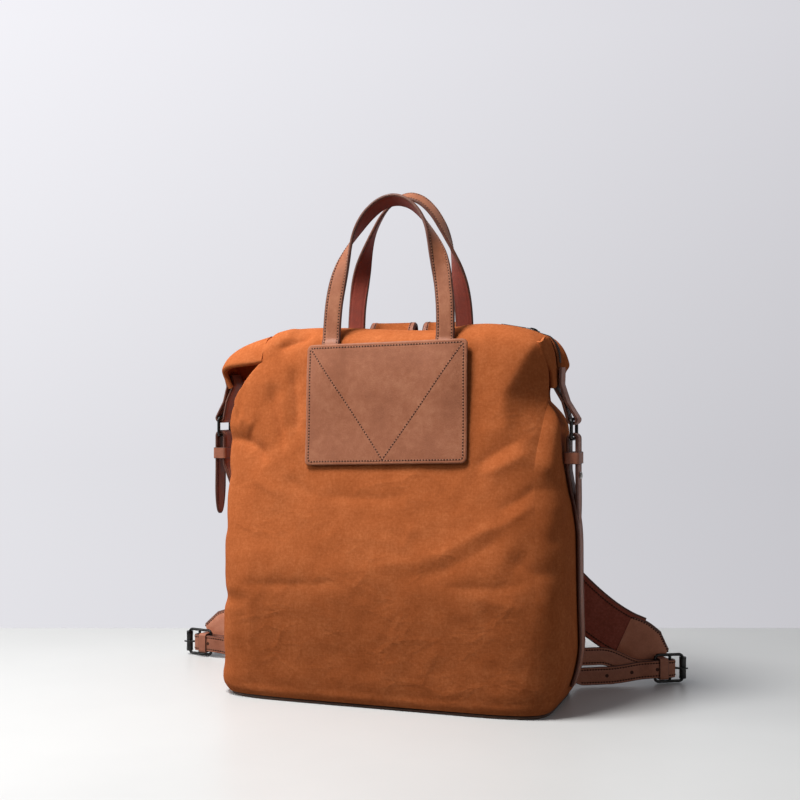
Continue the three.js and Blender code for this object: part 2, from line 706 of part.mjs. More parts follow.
  // Tab from the shoulder strap's end, narrowing to its end behind the buckle
  const end = strapEnds[side];
  const away = end.across.clone().cross(end.through).normalize();
  const onward = away.multiplyScalar(Math.sign(away.dot(along)));
  const start = end.point.clone().addScaledVector(onward, SEAM);
  const finish = at(TAB_END, TAB_BACK).setZ(LOWER_LEVEL + TAB_RISE);
  const facing = behind.clone().multiplyScalar(Math.sign(end.through.dot(behind)));
  const upwardEnd = AXIS_Z.clone().multiplyScalar(Math.sign(end.across.z));
  const tabWidths = [STRAP_WIDTH, STRAP_WIDTH * TAB_SHOULDER, TAB_END_WIDTH];
  const tab = [0, 0.5, 1].map((share, index) => {
    const through = end.through.clone().lerp(facing, share).normalize();
    const across = end.across.clone().lerp(upwardEnd, share).normalize();
    const point = start.clone().lerp(finish, share);
    return { point, across, through, width: tabWidths[index] };
  });
  add(`strap_tab_${side}`, band(tab, LEATHER), 'leather');
}

// Side fastening: a tab from each wing's tip, a ring, and the leather strip from the gusset that
// folds over the ring and hangs down again, held by a keeper and a stud.
const RING_REACH = { left: 190, right: 166 };
const RING_LEVEL = 253.5;
const RING_HALF_HEIGHT = 10.6;
const RING_HALF_WIDTH = 14;
const RING_WIRE = 3.2;
const RING_CORNER = 4;         // radius
const BAR_CLEAR = 6;           // from the ring's bar down to where the strip runs straight
const STRIP_LOW = 19;
const STRIP_LEAVES = { left: 178, right: 196 };
const STRIP_STEPS = 8;
const TAIL_END = 166;
const TAIL_FLARE = 0.6;        // how far the tail's end stands off
const STUD_LEVEL = 211;
// Outline of the stud, as radius and height.
const STUD_PROFILE = [
  [0, 0],
  [2, 0],
  [2, 0.8],
  [3.4, 1],
  [2.6, 2],
  [0, 2.4],
];
const SIDE_KEEPER_LEVEL = 227;
const SIDE_KEEPER_LENGTH = 11;
const WING_TAB_WIDTH = 21;
const WING_TAB_FROM = 0.86;    // share of the wing's length
const WING_TAB_CLEAR = 3.5 * SEAM;
const barDrop = RING_HALF_HEIGHT - RING_WIRE / 2;
const arc = (centre, radius, from, to, sign) => spread(from, to, FOLD_STEPS).map((degrees) => {
  const angle = THREE.MathUtils.degToRad(degrees);
  return new THREE.Vector3(
    centre.x + sign * radius * Math.cos(angle), 0, centre.z + radius * Math.sin(angle),
  );
});
for (const side of Object.keys(SIDES)) {
  const sign = SIDES[side];
  const outwards = new THREE.Vector3(sign, 0, 0);
  const at = (reach, z) => new THREE.Vector3(sign * reach, 0, z);
  const ringReach = RING_REACH[side];
  const inner = ringReach - FOLD_RADIUS;
  const outer = ringReach + FOLD_RADIUS;
  const lowBar = at(ringReach, RING_LEVEL - barDrop);
  const highBar = at(ringReach, RING_LEVEL + barDrop);

  const ringWindow = [[
    RING_WIRE - RING_HALF_WIDTH, RING_HALF_WIDTH - RING_WIRE, RING_HALF_HEIGHT - RING_WIRE,
  ]];
  const ring = windowFrame(
    -RING_HALF_WIDTH, RING_HALF_WIDTH, RING_HALF_HEIGHT, ringWindow, RING_CORNER, RING_WIRE,
  );
  add(`ring_${side}`, place(ring, at(ringReach, RING_LEVEL), outBack, AXIS_Z), 'metal');

  // Strip: flat on the gusset, out to the ring, over its lower bar and down as a tail
  const gussetReach = (z) => Math.abs(gussetPoint(side, 0, fractionAt(z)).x);
  const sewn = spread(STRIP_LOW, STRIP_LEAVES[side], STRIP_STEPS).map((z) => (
    at(gussetReach(z) + 3 * SEAM + LEATHER / 2, z)
  ));
  const straight = lowBar.z - BAR_CLEAR;
  const rising = [at(inner, SIDE_KEEPER_LEVEL - SIDE_KEEPER_LENGTH), at(inner, straight)];
  const overBar = arc(lowBar, FOLD_RADIUS, 180, 0, sign);
  const hanging = [at(outer, straight), at(outer, STUD_LEVEL), at(outer + TAIL_FLARE, TAIL_END)];
  const strip = stationsAt([...sewn, ...rising, ...overBar, ...hanging], SIDE_WIDTH, outBack);
  add(`side_strap_${side}`, band(strip, LEATHER), 'leather');

  const reach = FOLD_RADIUS + LEATHER / 2 + SEAM;
  const keeperHalf = SIDE_WIDTH / 2 + SEAM;
  const sleeve = windowFrame(-reach - KEEPER_WALL, reach + KEEPER_WALL, keeperHalf + KEEPER_WALL,
    [[-reach, reach, keeperHalf]], KEEPER_CORNER, SIDE_KEEPER_LENGTH);
  add(`side_keeper_${side}`, place(sleeve, at(ringReach, SIDE_KEEPER_LEVEL), AXIS_X, outBack), 'leather');

  const profile = STUD_PROFILE.map(([radius, height]) => new THREE.Vector2(radius, height));
  const stud = new THREE.LatheGeometry(profile, ROUND_SIDES);
  stud.rotateZ(-sign * Math.PI / 2);
  const studAt = at(outer + LEATHER / 2 + SEAM, STUD_LEVEL);
  add(`side_stud_${side}`, stud.translate(studAt.x, studAt.y, studAt.z), 'bright');

  // Tab: both layers hold the wing's tip, and the fold holds the ring's upper bar
  const grip = [WING_TAB_FROM, 1].map((along) => wingFrame(side, along));
  const clear = WING_TAB_CLEAR + LEATHER / 2;
  const over = grip.map(({ point, normal }) => point.clone().addScaledVector(normal, clear));
  const under = grip.map(({ point, normal }) => point.clone().addScaledVector(normal, -CLOTH - clear));
  const underBar = arc(highBar, FOLD_RADIUS, 0, -180, sign);
  const tabRoute = [...over, ...underBar, ...under.reverse()];
  const tab = stationsAt(tabRoute, WING_TAB_WIDTH, outBack);
  add(`wing_tab_${side}`, band(tab, LEATHER), 'leather');
}

// Slider and pull at the closed end of the zip, both lying along it
const SLIDER_X = 128;
const SLIDER_SIZE = { long: 11, wide: 8, thick: 2.4 };
const PULL_SIZE = { long: 24, half: 3.4, thick: 1.4, corner: 2, eye: [2, 7, 1.8] };
const ZIP_CROWN = 0.6;         // room for the zip's bow under a straight piece
const zipTop = (x) => ROOF_LEVEL + roofShift(x, ROOF_LEVEL) - ZIP_SINK + ZIP_THICK + ZIP_CROWN;
function layOnZip(geometry, from, to, thick) {
  const fall = Math.atan2(zipTop(from) - zipTop(to), to - from);
  const level = (zipTop(from) + zipTop(to)) / 2 + thick / 2;
  return geometry.rotateY(fall).translate((from + to) / 2, 0, level);
}
const slider = new THREE.BoxGeometry(SLIDER_SIZE.long, SLIDER_SIZE.wide, SLIDER_SIZE.thick);
const sliderFrom = SLIDER_X - SLIDER_SIZE.long / 2;
const sliderTo = SLIDER_X + SLIDER_SIZE.long / 2;
add('zip_slider', layOnZip(slider, sliderFrom, sliderTo, SLIDER_SIZE.thick), 'metal');
const pullTo = sliderFrom - 2 * SEAM;
const pullFrom = pullTo - PULL_SIZE.long;
const pull = windowFrame(
  0, PULL_SIZE.long, PULL_SIZE.half, [PULL_SIZE.eye], PULL_SIZE.corner, PULL_SIZE.thick,
);
pull.translate(-PULL_SIZE.long / 2, 0, 0);
add('zip_pull', layOnZip(pull, pullFrom, pullTo, PULL_SIZE.thick), 'metal');

export default backpack;
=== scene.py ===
"""Canvas backpack with a folded zip top, leather handles, shoulder straps and buckles.

Shapes are worked out in millimetres, as in the part's source, and become metres when a mesh is made.
+Z is up and the front faces -Y. The bag stands on the floor at z = 0.
"""
import math

import bmesh
import bpy
import numpy as np
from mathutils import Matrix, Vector, noise


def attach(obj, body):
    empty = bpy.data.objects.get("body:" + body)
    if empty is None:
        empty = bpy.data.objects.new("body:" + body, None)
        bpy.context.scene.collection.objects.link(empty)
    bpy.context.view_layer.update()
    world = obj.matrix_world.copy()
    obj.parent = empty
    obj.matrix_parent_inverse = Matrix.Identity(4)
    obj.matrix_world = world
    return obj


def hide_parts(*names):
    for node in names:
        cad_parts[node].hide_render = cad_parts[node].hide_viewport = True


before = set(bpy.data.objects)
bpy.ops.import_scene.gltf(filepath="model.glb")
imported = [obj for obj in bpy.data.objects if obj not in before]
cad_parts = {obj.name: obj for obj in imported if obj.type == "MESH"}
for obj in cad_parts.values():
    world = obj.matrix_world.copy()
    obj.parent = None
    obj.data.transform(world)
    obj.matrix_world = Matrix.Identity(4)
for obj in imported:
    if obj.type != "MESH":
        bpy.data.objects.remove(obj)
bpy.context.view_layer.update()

# Driving dimensions, as in the part's source
MM = 0.001
CLOTH = 2.2
LEATHER = 2.4
SEAM = 0.35
HEM_HEIGHT = 3.6
HANDLE_WIDTH = 18
HANDLE_SPACING = 112.5
HANDLE_MIDDLE = -2.7
HANDLE_THICK = 3.2
STRAP_WIDTH = 48
STRAP_THICK = 3.4
LOWER_WIDTH = 17.6
SIDE_WIDTH = 20
PATCH_WIDTH = 157
PATCH_HEIGHT = 113
PATCH_BASE = 221
PATCH_TILT = math.radians(1.6)
ZIP_WIDTH = 8
ZIP_THICK = 1.6
ZIP_LIFT = 0.8
ZIP_SINK = 2.2
ZIP_GROOVE = 2.4
MOUTH_HALF = 5

SIDES = {"left": -1, "right": 1}
FACES = {"front": -1, "back": 1}
BOTH_FACES = (1, -1)
AXIS_X = np.array([1.0, 0.0, 0.0])
AXIS_Y = np.array([0.0, 1.0, 0.0])
AXIS_Z = np.array([0.0, 0.0, 1.0])

# The canvas wall from hem to ridge: height, left and right half widths, front and back half depths,
# and how square the corners of the plan are
SECTIONS = np.array([
    [HEM_HEIGHT, 159, 155, 73, 73, 6.5],
    [14, 163, 161, 76.5, 77, 6.5],
    [38, 164, 165, 78, 78.5, 6.5],
    [109, 164, 163.5, 77, 76, 6],
    [160, 168, 163, 68, 67, 5.5],
    [222, 171, 161, 55.5, 55.5, 5],
    [262, 174, 165, 49, 47, 5],
    [296, 169, 167, 43.5, 39.5, 5],
    [320, 151.5, 163.2, 39.5, 33, 5],
    [335, 151.3, 162.2, 34, 26.5, 5],
    [343, 151.3, 162.2, 24, 19, 5],
    [347, 151.3, 162.2, 13, 11, 5],
    [348, 151.3, 162.2, MOUTH_HALF, MOUTH_HALF, 5],
])
GUSSET_TOP = 9 / (len(SECTIONS) - 1)
ROOF_START = 300
ROOF_LEVEL = 348

# Height of the ridge across the bag
RIDGE = np.array([
    [-132, 343],
    [-107, 349.5],
    [-60, 350],
    [0, 347],
    [38, 346.5],
    [72, 351],
    [98, 350.5],
    [125, 345.5],
    [142, 339],
])

# How far the middle of each gusset is tucked in, by height, and where its seams turn to creases
CREASE_START = 255
CREASE_FULL = 312
TUCK = np.array([[185, 0], [222, 4], [265, 13], [300, 32], [340, 46]])
TUCK_POWER = 1.8

# The folded wings from root to tip: reach from the middle, height of the crown, half span, hang of the front
# and back edges, and how far the back edge reaches out beyond the front edge
WINGS = {
    "left": np.array([
        [132.4, 343.3, 35, 24, 24, 0],
        [152, 337.5, 33, 20, 27, -3],
        [169, 330, 27, 14, 27, -4],
        [180, 320, 20, 8, 18, -4],
        [182.5, 308, 14, 4, 6, -2],
        [179.5, 294, 11, 2, 2, 0],
    ]),
    "right": np.array([
        [143, 339, 26, 5, 9, 0],
        [146.5, 336, 25, 8, 14, 6],
        [150, 330.5, 22, 9, 14, 10],
        [152.5, 321.5, 18, 7, 9, 10],
        [153, 310, 14, 4, 4, 4],
        [152.5, 294.5, 11, 2, 2, 0],
    ]),
}
WING_POWER = 3.4


# Numbers and curves
CURVE_STEPS = 24


def smoothstep(value, low, high):
    """0 below low, 1 above high and a smooth step between them."""
    share = np.clip((np.asarray(value, float) - low) / (high - low), 0, 1)
    return share * share * (3 - 2 * share)


def mix(start, end, share):
    return start + (end - start) * share


def unit(vectors):
    vectors = np.asarray(vectors, float)
    return vectors / np.maximum(np.linalg.norm(vectors, axis=-1, keepdims=True), 1e-9)


def cubic(t, start, leave, end, arrive):
    """Smooth step from a start to an end, with slopes at both."""
    return (start * (2 * t**3 - 3 * t**2 + 1) + leave * (t**3 - 2 * t**2 + t)
            + end * (3 * t**2 - 2 * t**3) + arrive * (t**3 - t**2))


def smooth(places, values, at):
    """Smooth value of a table column at each place."""
    at = np.clip(np.asarray(at, float), places[0], places[-1])
    row = np.clip(np.searchsorted(places, at) - 1, 0, len(places) - 2)
    first = np.maximum(np.arange(len(places)) - 1, 0)
    last = np.minimum(np.arange(len(places)) + 1, len(places) - 1)
    slopes = (values[last] - values[first]) / (places[last] - places[first])
    span = places[row + 1] - places[row]
    t = (at - places[row]) / span
    return cubic(t, values[row], slopes[row] * span, values[row + 1], slopes[row + 1] * span)


def row_places(rows):
    return np.linspace(0, 1, len(rows))


def lengths_along(points):
    """Distance along a line of points, from its first point."""
    steps = np.linalg.norm(np.diff(points, axis=0), axis=1)
    return np.concatenate([[0], np.cumsum(steps)])


def read_at(places, along, values):
    """Vectors at places along a line, from a table of vectors."""
    return np.stack([np.interp(places, along, column) for column in values.T], axis=-1)


def resample(points, count):
    """The same line with evenly spaced points."""
    along = lengths_along(points)
    places = np.linspace(0, along[-1], count)
    return read_at(places, along, points)


def curve_through(points, count):
    """A smooth line through points, which keeps to them where they lie close together."""
    points = np.asarray(points, float)
    padded = np.vstack([2 * points[0] - points[1], points, 2 * points[-1] - points[-2]])
    knots = np.concatenate([[0], np.cumsum(np.sqrt(np.linalg.norm(np.diff(padded, axis=0), axis=1)))])
    fine = []
    for row in range(1, len(padded) - 2):
        before, start, end, after = padded[row - 1:row + 3]
        k0, k1, k2, k3 = knots[row - 1:row + 3]
        span = k2 - k1
        leave = span * ((start - before) / (k1 - k0) - (end - before) / (k2 - k0) + (end - start) / span)
        arrive = span * ((end - start) / span - (after - start) / (k3 - k1) + (after - end) / (k3 - k2))
        t = np.linspace(0, 1, CURVE_STEPS, endpoint=False)[:, None]
        fine.append(cubic(t, start, leave, end, arrive))
    fine.append(points[-1:])
    return resample(np.vstack(fine), count)


# The canvas shell
HEIGHT_STEPS = 4001
WALL_STEP = 2


def section_at(fraction):
    """Height, half widths, half depths and squareness at a fraction from the hem to the ridge."""
    return [smooth(row_places(SECTIONS), column, fraction) for column in SECTIONS.T]


def fraction_at(height):
    """Fraction of the wall at which it reaches a height below the roof."""
    fractions = np.linspace(0, 1, HEIGHT_STEPS)
    return np.interp(height, section_at(fractions)[0], fractions)


def roof_shift(x, height):
    """The ridge's droop, which fades out below the roof."""
    return smoothstep(height, ROOF_START, ROOF_LEVEL) * (smooth(RIDGE[:, 0], RIDGE[:, 1], x) - ROOF_LEVEL)


def panel_point(face, across, fraction):
    """Front or back wall; across runs from -1 at the left seam to 1 at the right seam."""
    height, left, right, front, back, square = section_at(fraction)
    corner = 2 ** (-1 / square)
    x = np.where(across < 0, left, right) * corner * across
    depth = -front if face == "front" else back
    y = depth * (1 - np.abs(corner * across) ** square) ** (1 / square)
    return np.stack(np.broadcast_arrays(x, y, height + roof_shift(x, height)), axis=-1)


def gusset_point(side, along, fraction):
    """Side wall; along runs from -1 at the front seam to 1 at the back seam."""
    height, left, right, front, back, square = section_at(fraction)
    corner = 2 ** (-1 / square)
    depth = np.where(along < 0, front, back)
    half = left if side == "left" else right
    rounded = half * (1 - np.abs(corner * along) ** square) ** (1 / square)
    reach = mix(rounded, half * corner, smoothstep(height, CREASE_START, CREASE_FULL))
    tuck = (1 - np.abs(along) ** TUCK_POWER) * smooth(TUCK[:, 0], TUCK[:, 1], height)
    z = height + roof_shift(SIDES[side] * reach, height)
    return np.stack(np.broadcast_arrays(SIDES[side] * (reach - tuck), depth * corner * along, z), axis=-1)


def wing_point(side, across, along):
    """Folded wing; along runs from 0 at the root to 1 at the tip, across from -1 to 1."""
    rows = WINGS[side]
    reach, height, half, front, back, skew = [smooth(row_places(rows), column, along) for column in rows.T]
    droop = np.where(across < 0, front, back) * np.abs(across) ** WING_POWER
    slant = SIDES[side] * (reach + skew * across / 2)
    return np.stack(np.broadcast_arrays(slant, half * across, height - droop), axis=-1)


def wall_at(face, x, height):
    """Point of the front or back wall at a distance from the middle and a height."""
    fraction = fraction_at(height)
    _, left, right, _, _, square = section_at(fraction)
    across = x / (np.where(x < 0, left, right) * 2 ** (-1 / square))
    return panel_point(face, across, fraction)


def off_wall(face, x, height, lift):
    """Point lifted off the front or back wall, square to it."""
    up = wall_at(face, x, height + WALL_STEP) - wall_at(face, x, height - WALL_STEP)
    beside = wall_at(face, x + WALL_STEP, height) - wall_at(face, x - WALL_STEP, height)
    return wall_at(face, x, height) - FACES[face] * lift * unit(np.cross(beside, up))


def grid_normals(grid, outwards):
    """Unit normals of a grid of points, on the side that outwards points to."""
    normals = unit(np.cross(np.gradient(grid, axis=1), np.gradient(grid, axis=0)))
    return normals * np.sign((normals * outwards).sum(-1).mean())


# Meshes. Strips have eased edges, and some a groove for stitches or a raised border.
SHARP_ANGLE = math.radians(50)
NEARLY_ALONG = 0.8
EDGE_SHARE = 0.45
EDGE_ANGLES = np.radians([60, 30, 0, -30, -60])
EDGE_EASE = 0.15
GROOVE_HALF = 0.9
GROOVE_DEPTH = 0.35
BORDER_STEP = 0.3
BORDER_RISE = 0.35


def make_piece(name, points, faces, materials, face_materials=None, uvs=None):
    """A mesh object from points in millimetres. uvs gives each point its place on the flat material."""
    mesh = bpy.data.meshes.new(name)
    mesh.from_pydata((np.asarray(points, float) * MM).tolist(), [], [list(map(int, face)) for face in faces])
    for material in materials:
        mesh.materials.append(material)
    if face_materials is not None:
        mesh.polygons.foreach_set("material_index", np.asarray(face_materials, np.int32))
    if uvs is not None:
        corners = np.zeros(len(mesh.loops), np.int32)
        mesh.loops.foreach_get("vertex_index", corners)
        layer = mesh.uv_layers.new(name="UVMap")
        layer.data.foreach_set("uv", (np.asarray(uvs, float)[corners] * MM).astype(np.float32).ravel())
    work = bmesh.new()
    work.from_mesh(mesh)
    bmesh.ops.recalc_face_normals(work, faces=work.faces)
    work.to_mesh(mesh)
    work.free()
    mesh.shade_smooth()
    mesh.set_sharp_from_angle(angle=SHARP_ANGLE)
    made = bpy.data.objects.new(name, mesh)
    bpy.context.scene.collection.objects.link(made)
    return made


def dress(piece, slot, *nodes):
    """Seats a piece on the bag: its body and the plain solids it stands for. slot is not used."""
    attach(piece, "root")
    if nodes:
        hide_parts(*nodes)


def grid_faces(rows, cols, offset=0):
    """Four-sided faces of a grid of points, whose first point has the number offset."""
    corner = (np.arange(rows - 1)[:, None] * cols + np.arange(cols - 1)[None, :]).ravel() + offset
    return np.stack([corner, corner + 1, corner + cols + 1, corner + cols], axis=1)


def rim_of(rows, cols):
    """Numbers of the points round a grid's edge, in order."""
    index = np.arange(rows * cols).reshape(rows, cols)
    return np.concatenate([index[0, :-1], index[:-1, -1], index[-1, :0:-1], index[:0:-1, 0]])


def ring_faces(rings, sides, closed=False):
    """Faces of a tube of rings, which is closed on itself or has a cap at each end."""
    ring = np.arange(rings if closed else rings - 1)[:, None] * sides
    above = (ring + sides) % (rings * sides)
    here = np.arange(sides)[None, :]
    after = (here + 1) % sides
    quads = np.stack([ring + here, ring + after, above + after, above + here], axis=-1)
    faces = quads.reshape(-1, 4).tolist()
    if not closed:
        faces.append(list(range(sides)))
        faces.append(list(range((rings - 1) * sides, rings * sides)))
    return faces


def wall_piece(name, outer, normals, materials):
    """A wall of cloth on a grid of points: outer face, lining and rim."""
    rows, cols = outer.shape[:2]
    inner = outer - normals * CLOTH
    count = rows * cols
    rim = rim_of(rows, cols)
    after = np.roll(rim, -1)
    rim_faces = np.stack([rim, rim + count, after + count, after], axis=1)
    outer_faces = grid_faces(rows, cols)
    inner_faces = grid_faces(rows, cols, count)[:, ::-1]
    faces = np.vstack([outer_faces, inner_faces, rim_faces])
    face_materials = np.repeat([0, 1, 0], [len(outer_faces), len(inner_faces), len(rim_faces)])
    u = np.cumsum(np.linalg.norm(np.diff(outer, axis=1, prepend=outer[:, :1]), axis=-1), axis=1)
    v = np.cumsum(np.linalg.norm(np.diff(outer, axis=0, prepend=outer[:1]), axis=-1), axis=0)
    u = u - u[:, cols // 2:cols // 2 + 1]
    flat = np.stack([u, v], axis=-1).reshape(-1, 2)
    points = np.vstack([outer.reshape(-1, 3), inner.reshape(-1, 3)])
    return make_piece(name, points, faces, materials, face_materials, np.vstack([flat, flat]))


def strip_frames(points, across):
    """Across and outward directions, square to a line of points."""
    along = unit(np.gradient(points, axis=0))
    across = np.broadcast_to(across, points.shape)
    across = unit(across - along * (across * along).sum(-1, keepdims=True))
    return across, unit(np.cross(along, across))


def strip_profile(edge, groove, border):
    """Points across a strip's outer face: share of the half width, inset, lift and whether on the border."""
    places = [0.0, edge * EDGE_EASE]
    if groove:
        places += [groove - edge - GROOVE_HALF, groove - edge, groove - edge + GROOVE_HALF]
    if border:
        places += [border - edge, border - edge + BORDER_STEP]
    left = []
    for place in sorted(place for place in places if place >= 0):
        lift = 0.0
        if groove and math.isclose(place + edge, groove):
            lift -= GROOVE_DEPTH
        if border and place <= border - edge:
            lift += BORDER_RISE
        left.append((-1, edge + place, lift, place < border - edge))
    middle = [(share, edge, 0.0, False) for share in (-0.5, 0.0, 0.5)]
    return left + middle + [(1, *point[1:]) for point in left[::-1]]


def strip_piece(name, points, across, widths, thickness, materials, groove=0, border=0):
    """A leather or webbing strip along points, with rounded edges.

    Its four materials are the outer face, the edges, the inner face and the outer face's border.
    groove is how far from the edge a line of stitches draws the leather in.
    """
    across, outwards = strip_frames(points, across)
    count = len(points)
    half = np.broadcast_to(np.asarray(widths, float) / 2, count)
    edge = min(thickness * EDGE_SHARE, half.min() / 2)
    top = thickness / 2
    outer = strip_profile(edge, groove, border)
    inner = [(share, inset, -top - min(lift, 0)) for share, inset, lift, _ in outer[::-1]]
    turn = [(edge * math.cos(angle), top * math.sin(angle)) for angle in EDGE_ANGLES]
    sides = [share * (half - inset) for share, inset, _, _ in outer]
    sides += [half - edge + reach for reach, _ in turn]
    sides += [share * (half - inset) for share, inset, _ in inner]
    sides += [edge - half - reach for reach, _ in turn[::-1]]
    levels = [top + lift for _, _, lift, _ in outer] + [level for _, level in turn]
    levels += [level for _, _, level in inner] + [level for _, level in turn[::-1]]
    sides = np.stack(sides, axis=1)
    raised = outwards[:, None] * np.array(levels)[:, None]
    grid = points[:, None] + across[:, None] * sides[..., None] + raised
    loop = len(levels)
    on_border = [point[3] for point in outer]
    outer_kinds = [3 if one or two else 0 for one, two in zip(on_border, on_border[1:])]
    edge_kinds = [1] * (len(turn) + 1)
    kinds = outer_kinds + edge_kinds + [2] * len(outer_kinds) + edge_kinds
    face_materials = list(np.tile(kinds, count - 1)) + [1, 1]
    along = np.repeat(lengths_along(points)[:, None], loop, axis=1)
    uvs = np.stack([along, sides], axis=-1).reshape(-1, 2)
    return make_piece(name, grid.reshape(-1, 3), ring_faces(count, loop), materials, face_materials, uvs)


def tube_piece(name, points, radius, materials, closed=False, sides=14):
    """A round wire along points; radius may change along it."""
    count = len(points)
    if closed:
        along = unit(np.roll(points, -1, axis=0) - np.roll(points, 1, axis=0))
    else:
        along = unit(np.gradient(points, axis=0))
    start = AXIS_Z if abs(along[0] @ AXIS_Z) < NEARLY_ALONG else AXIS_X
    across = []
    for direction in along:
        start = unit(start - direction * (start @ direction))
        across.append(start)
    across = np.array(across)
    up = np.cross(along, across)
    radius = np.broadcast_to(np.asarray(radius, float), count)
    angles = np.linspace(0, 2 * math.pi, sides, endpoint=False)
    ring = across[:, None] * np.cos(angles)[None, :, None] + up[:, None] * np.sin(angles)[None, :, None]
    grid = points[:, None] + ring * radius[:, None, None]
    return make_piece(name, grid.reshape(-1, 3), ring_faces(count, sides, closed), materials)


def join_shapes(name, shapes, materials):
    """One mesh object from several (points, faces, material number) lists."""
    points = []
    faces = []
    kinds = []
    offset = 0
    for shape_points, shape_faces, kind in shapes:
        points.append(np.asarray(shape_points, float))
        faces += [[index + offset for index in face] for face in shape_faces]
        kinds += [kind] * len(shape_faces)
        offset += len(shape_points)
    return make_piece(name, np.vstack(points), faces, materials, kinds)


def lathe_shape(profile, origin, axis, sides=24):
    """A turned shape for join_shapes; the profile is (radius, height along the axis)."""
    side = unit(np.cross(axis, AXIS_Y if abs(axis @ AXIS_Y) < NEARLY_ALONG else AXIS_X))
    other = np.cross(axis, side)
    angles = np.linspace(0, 2 * math.pi, sides, endpoint=False)
    ring = side * np.cos(angles)[:, None] + other * np.sin(angles)[:, None]
    points = np.vstack([origin + ring * radius + axis * height for radius, height in profile])
    return points, ring_faces(len(profile), sides), 0


# Stitches: the shapes of one thread and of the needle hole behind it, as forwards, beside and up
STITCH_PITCH = 2.8
STITCH_LENGTH = 1.7
STITCH_RADIUS = 0.42
STITCH_SIDES = 6
STITCH_RINGS = 5
THREAD_TAPER = 0.92
THREAD_SINK = 0.35
HOLE_RADIUS = 0.85
HOLE_RISE = (0.1, 0.18)
HOLE_DEPTH = 0.5
STITCH_BED = 0.1

stitch_angles = np.linspace(0, 2 * math.pi, STITCH_SIDES, endpoint=False)
stitch_ring = np.stack([np.cos(stitch_angles), np.sin(stitch_angles)], axis=1)
thread_points = []
for step in np.linspace(-1, 1, STITCH_RINGS):
    girth = STITCH_RADIUS * math.sqrt(1 - THREAD_TAPER * step**2)
    for beside, up in stitch_ring * girth:
        thread_points.append((step * STITCH_LENGTH / 2, beside, up - THREAD_SINK * STITCH_RADIUS * step**2))
thread_points = np.array(thread_points)
thread_faces = ring_faces(STITCH_RINGS, STITCH_SIDES)
# Each needle hole is a small cap whose dark colour is painted shade of the hole
hole_rim = np.hstack([stitch_ring * HOLE_RADIUS, np.full((STITCH_SIDES, 1), HOLE_RISE[0])])
hole_points = np.vstack([hole_rim, [(0, 0, HOLE_RISE[1])], hole_rim - (0, 0, HOLE_DEPTH)])
hole_faces = []
for corner in range(STITCH_SIDES):
    after = (corner + 1) % STITCH_SIDES
    hole_faces.append([corner, after, STITCH_SIDES])
    hole_faces.append([corner, STITCH_SIDES + 1 + corner, STITCH_SIDES + 1 + after, after])
hole_faces.append(list(range(STITCH_SIDES + 1, 2 * STITCH_SIDES + 1)))


def stitch_shapes(line, normals):
    """Thread and needle holes along a line of points on a surface."""
    along = lengths_along(line)
    count = max(int(along[-1] / STITCH_PITCH), 1)
    places = (np.arange(count) + 0.5) * along[-1] / count
    ups = unit(read_at(places, along, normals))
    forwards = unit(read_at(places, along, np.gradient(line, axis=0)))
    forwards = unit(forwards - ups * (forwards * ups).sum(-1, keepdims=True))
    shapes = []
    for place, forward, up in zip(read_at(places, along, line), forwards, ups):
        basis = np.array([forward, np.cross(up, forward), up])
        shapes.append((place + thread_points @ basis, thread_faces, 0))
        shapes.append((place + forward * STITCH_PITCH / 2 + hole_points @ basis, hole_faces, 1))
    return shapes


def strip_stitches(points, across, widths, thickness, inset, faces=(1,), last=1.0):
    """Rows of stitches along a strip, inset from its edges, up to a last share of its length."""
    across, outwards = strip_frames(points, across)
    half = np.broadcast_to(np.asarray(widths, float) / 2, len(points))
    count = int(last * (len(points) - 1)) + 1
    shapes = []
    for face in faces:
        for side in (-1, 1):
            line = points + across * (side * (half - inset))[:, None]
            line = line + outwards * face * (thickness / 2 - STITCH_BED)
            shapes += stitch_shapes(line[:count], (outwards * face)[:count])
    return shapes


# Materials

class NodeTree:
    """A node tree, with short calls for its nodes."""

    def __init__(self, tree):
        self.tree = tree

    def node(self, kind, settings=None, inputs=None):
        made = self.tree.nodes.new("ShaderNode" + kind)
        for key, value in (settings or {}).items():
            setattr(made, key, value)
        for key, value in (inputs or {}).items():
            self.feed(made.inputs[key], value)
        return made

    def feed(self, socket, value):
        if isinstance(value, bpy.types.NodeSocket):
            self.tree.links.new(value, socket)
        else:
            socket.default_value = value

    def tint(self, factor, first, second):
        """A colour between two others."""
        made = self.node("Mix", {"data_type": "RGBA"}, {0: factor})
        for number, colour in ((6, first), (7, second)):
            linked = isinstance(colour, bpy.types.NodeSocket)
            self.feed(made.inputs[number], colour if linked else (*colour, 1.0))
        return made.outputs[2]


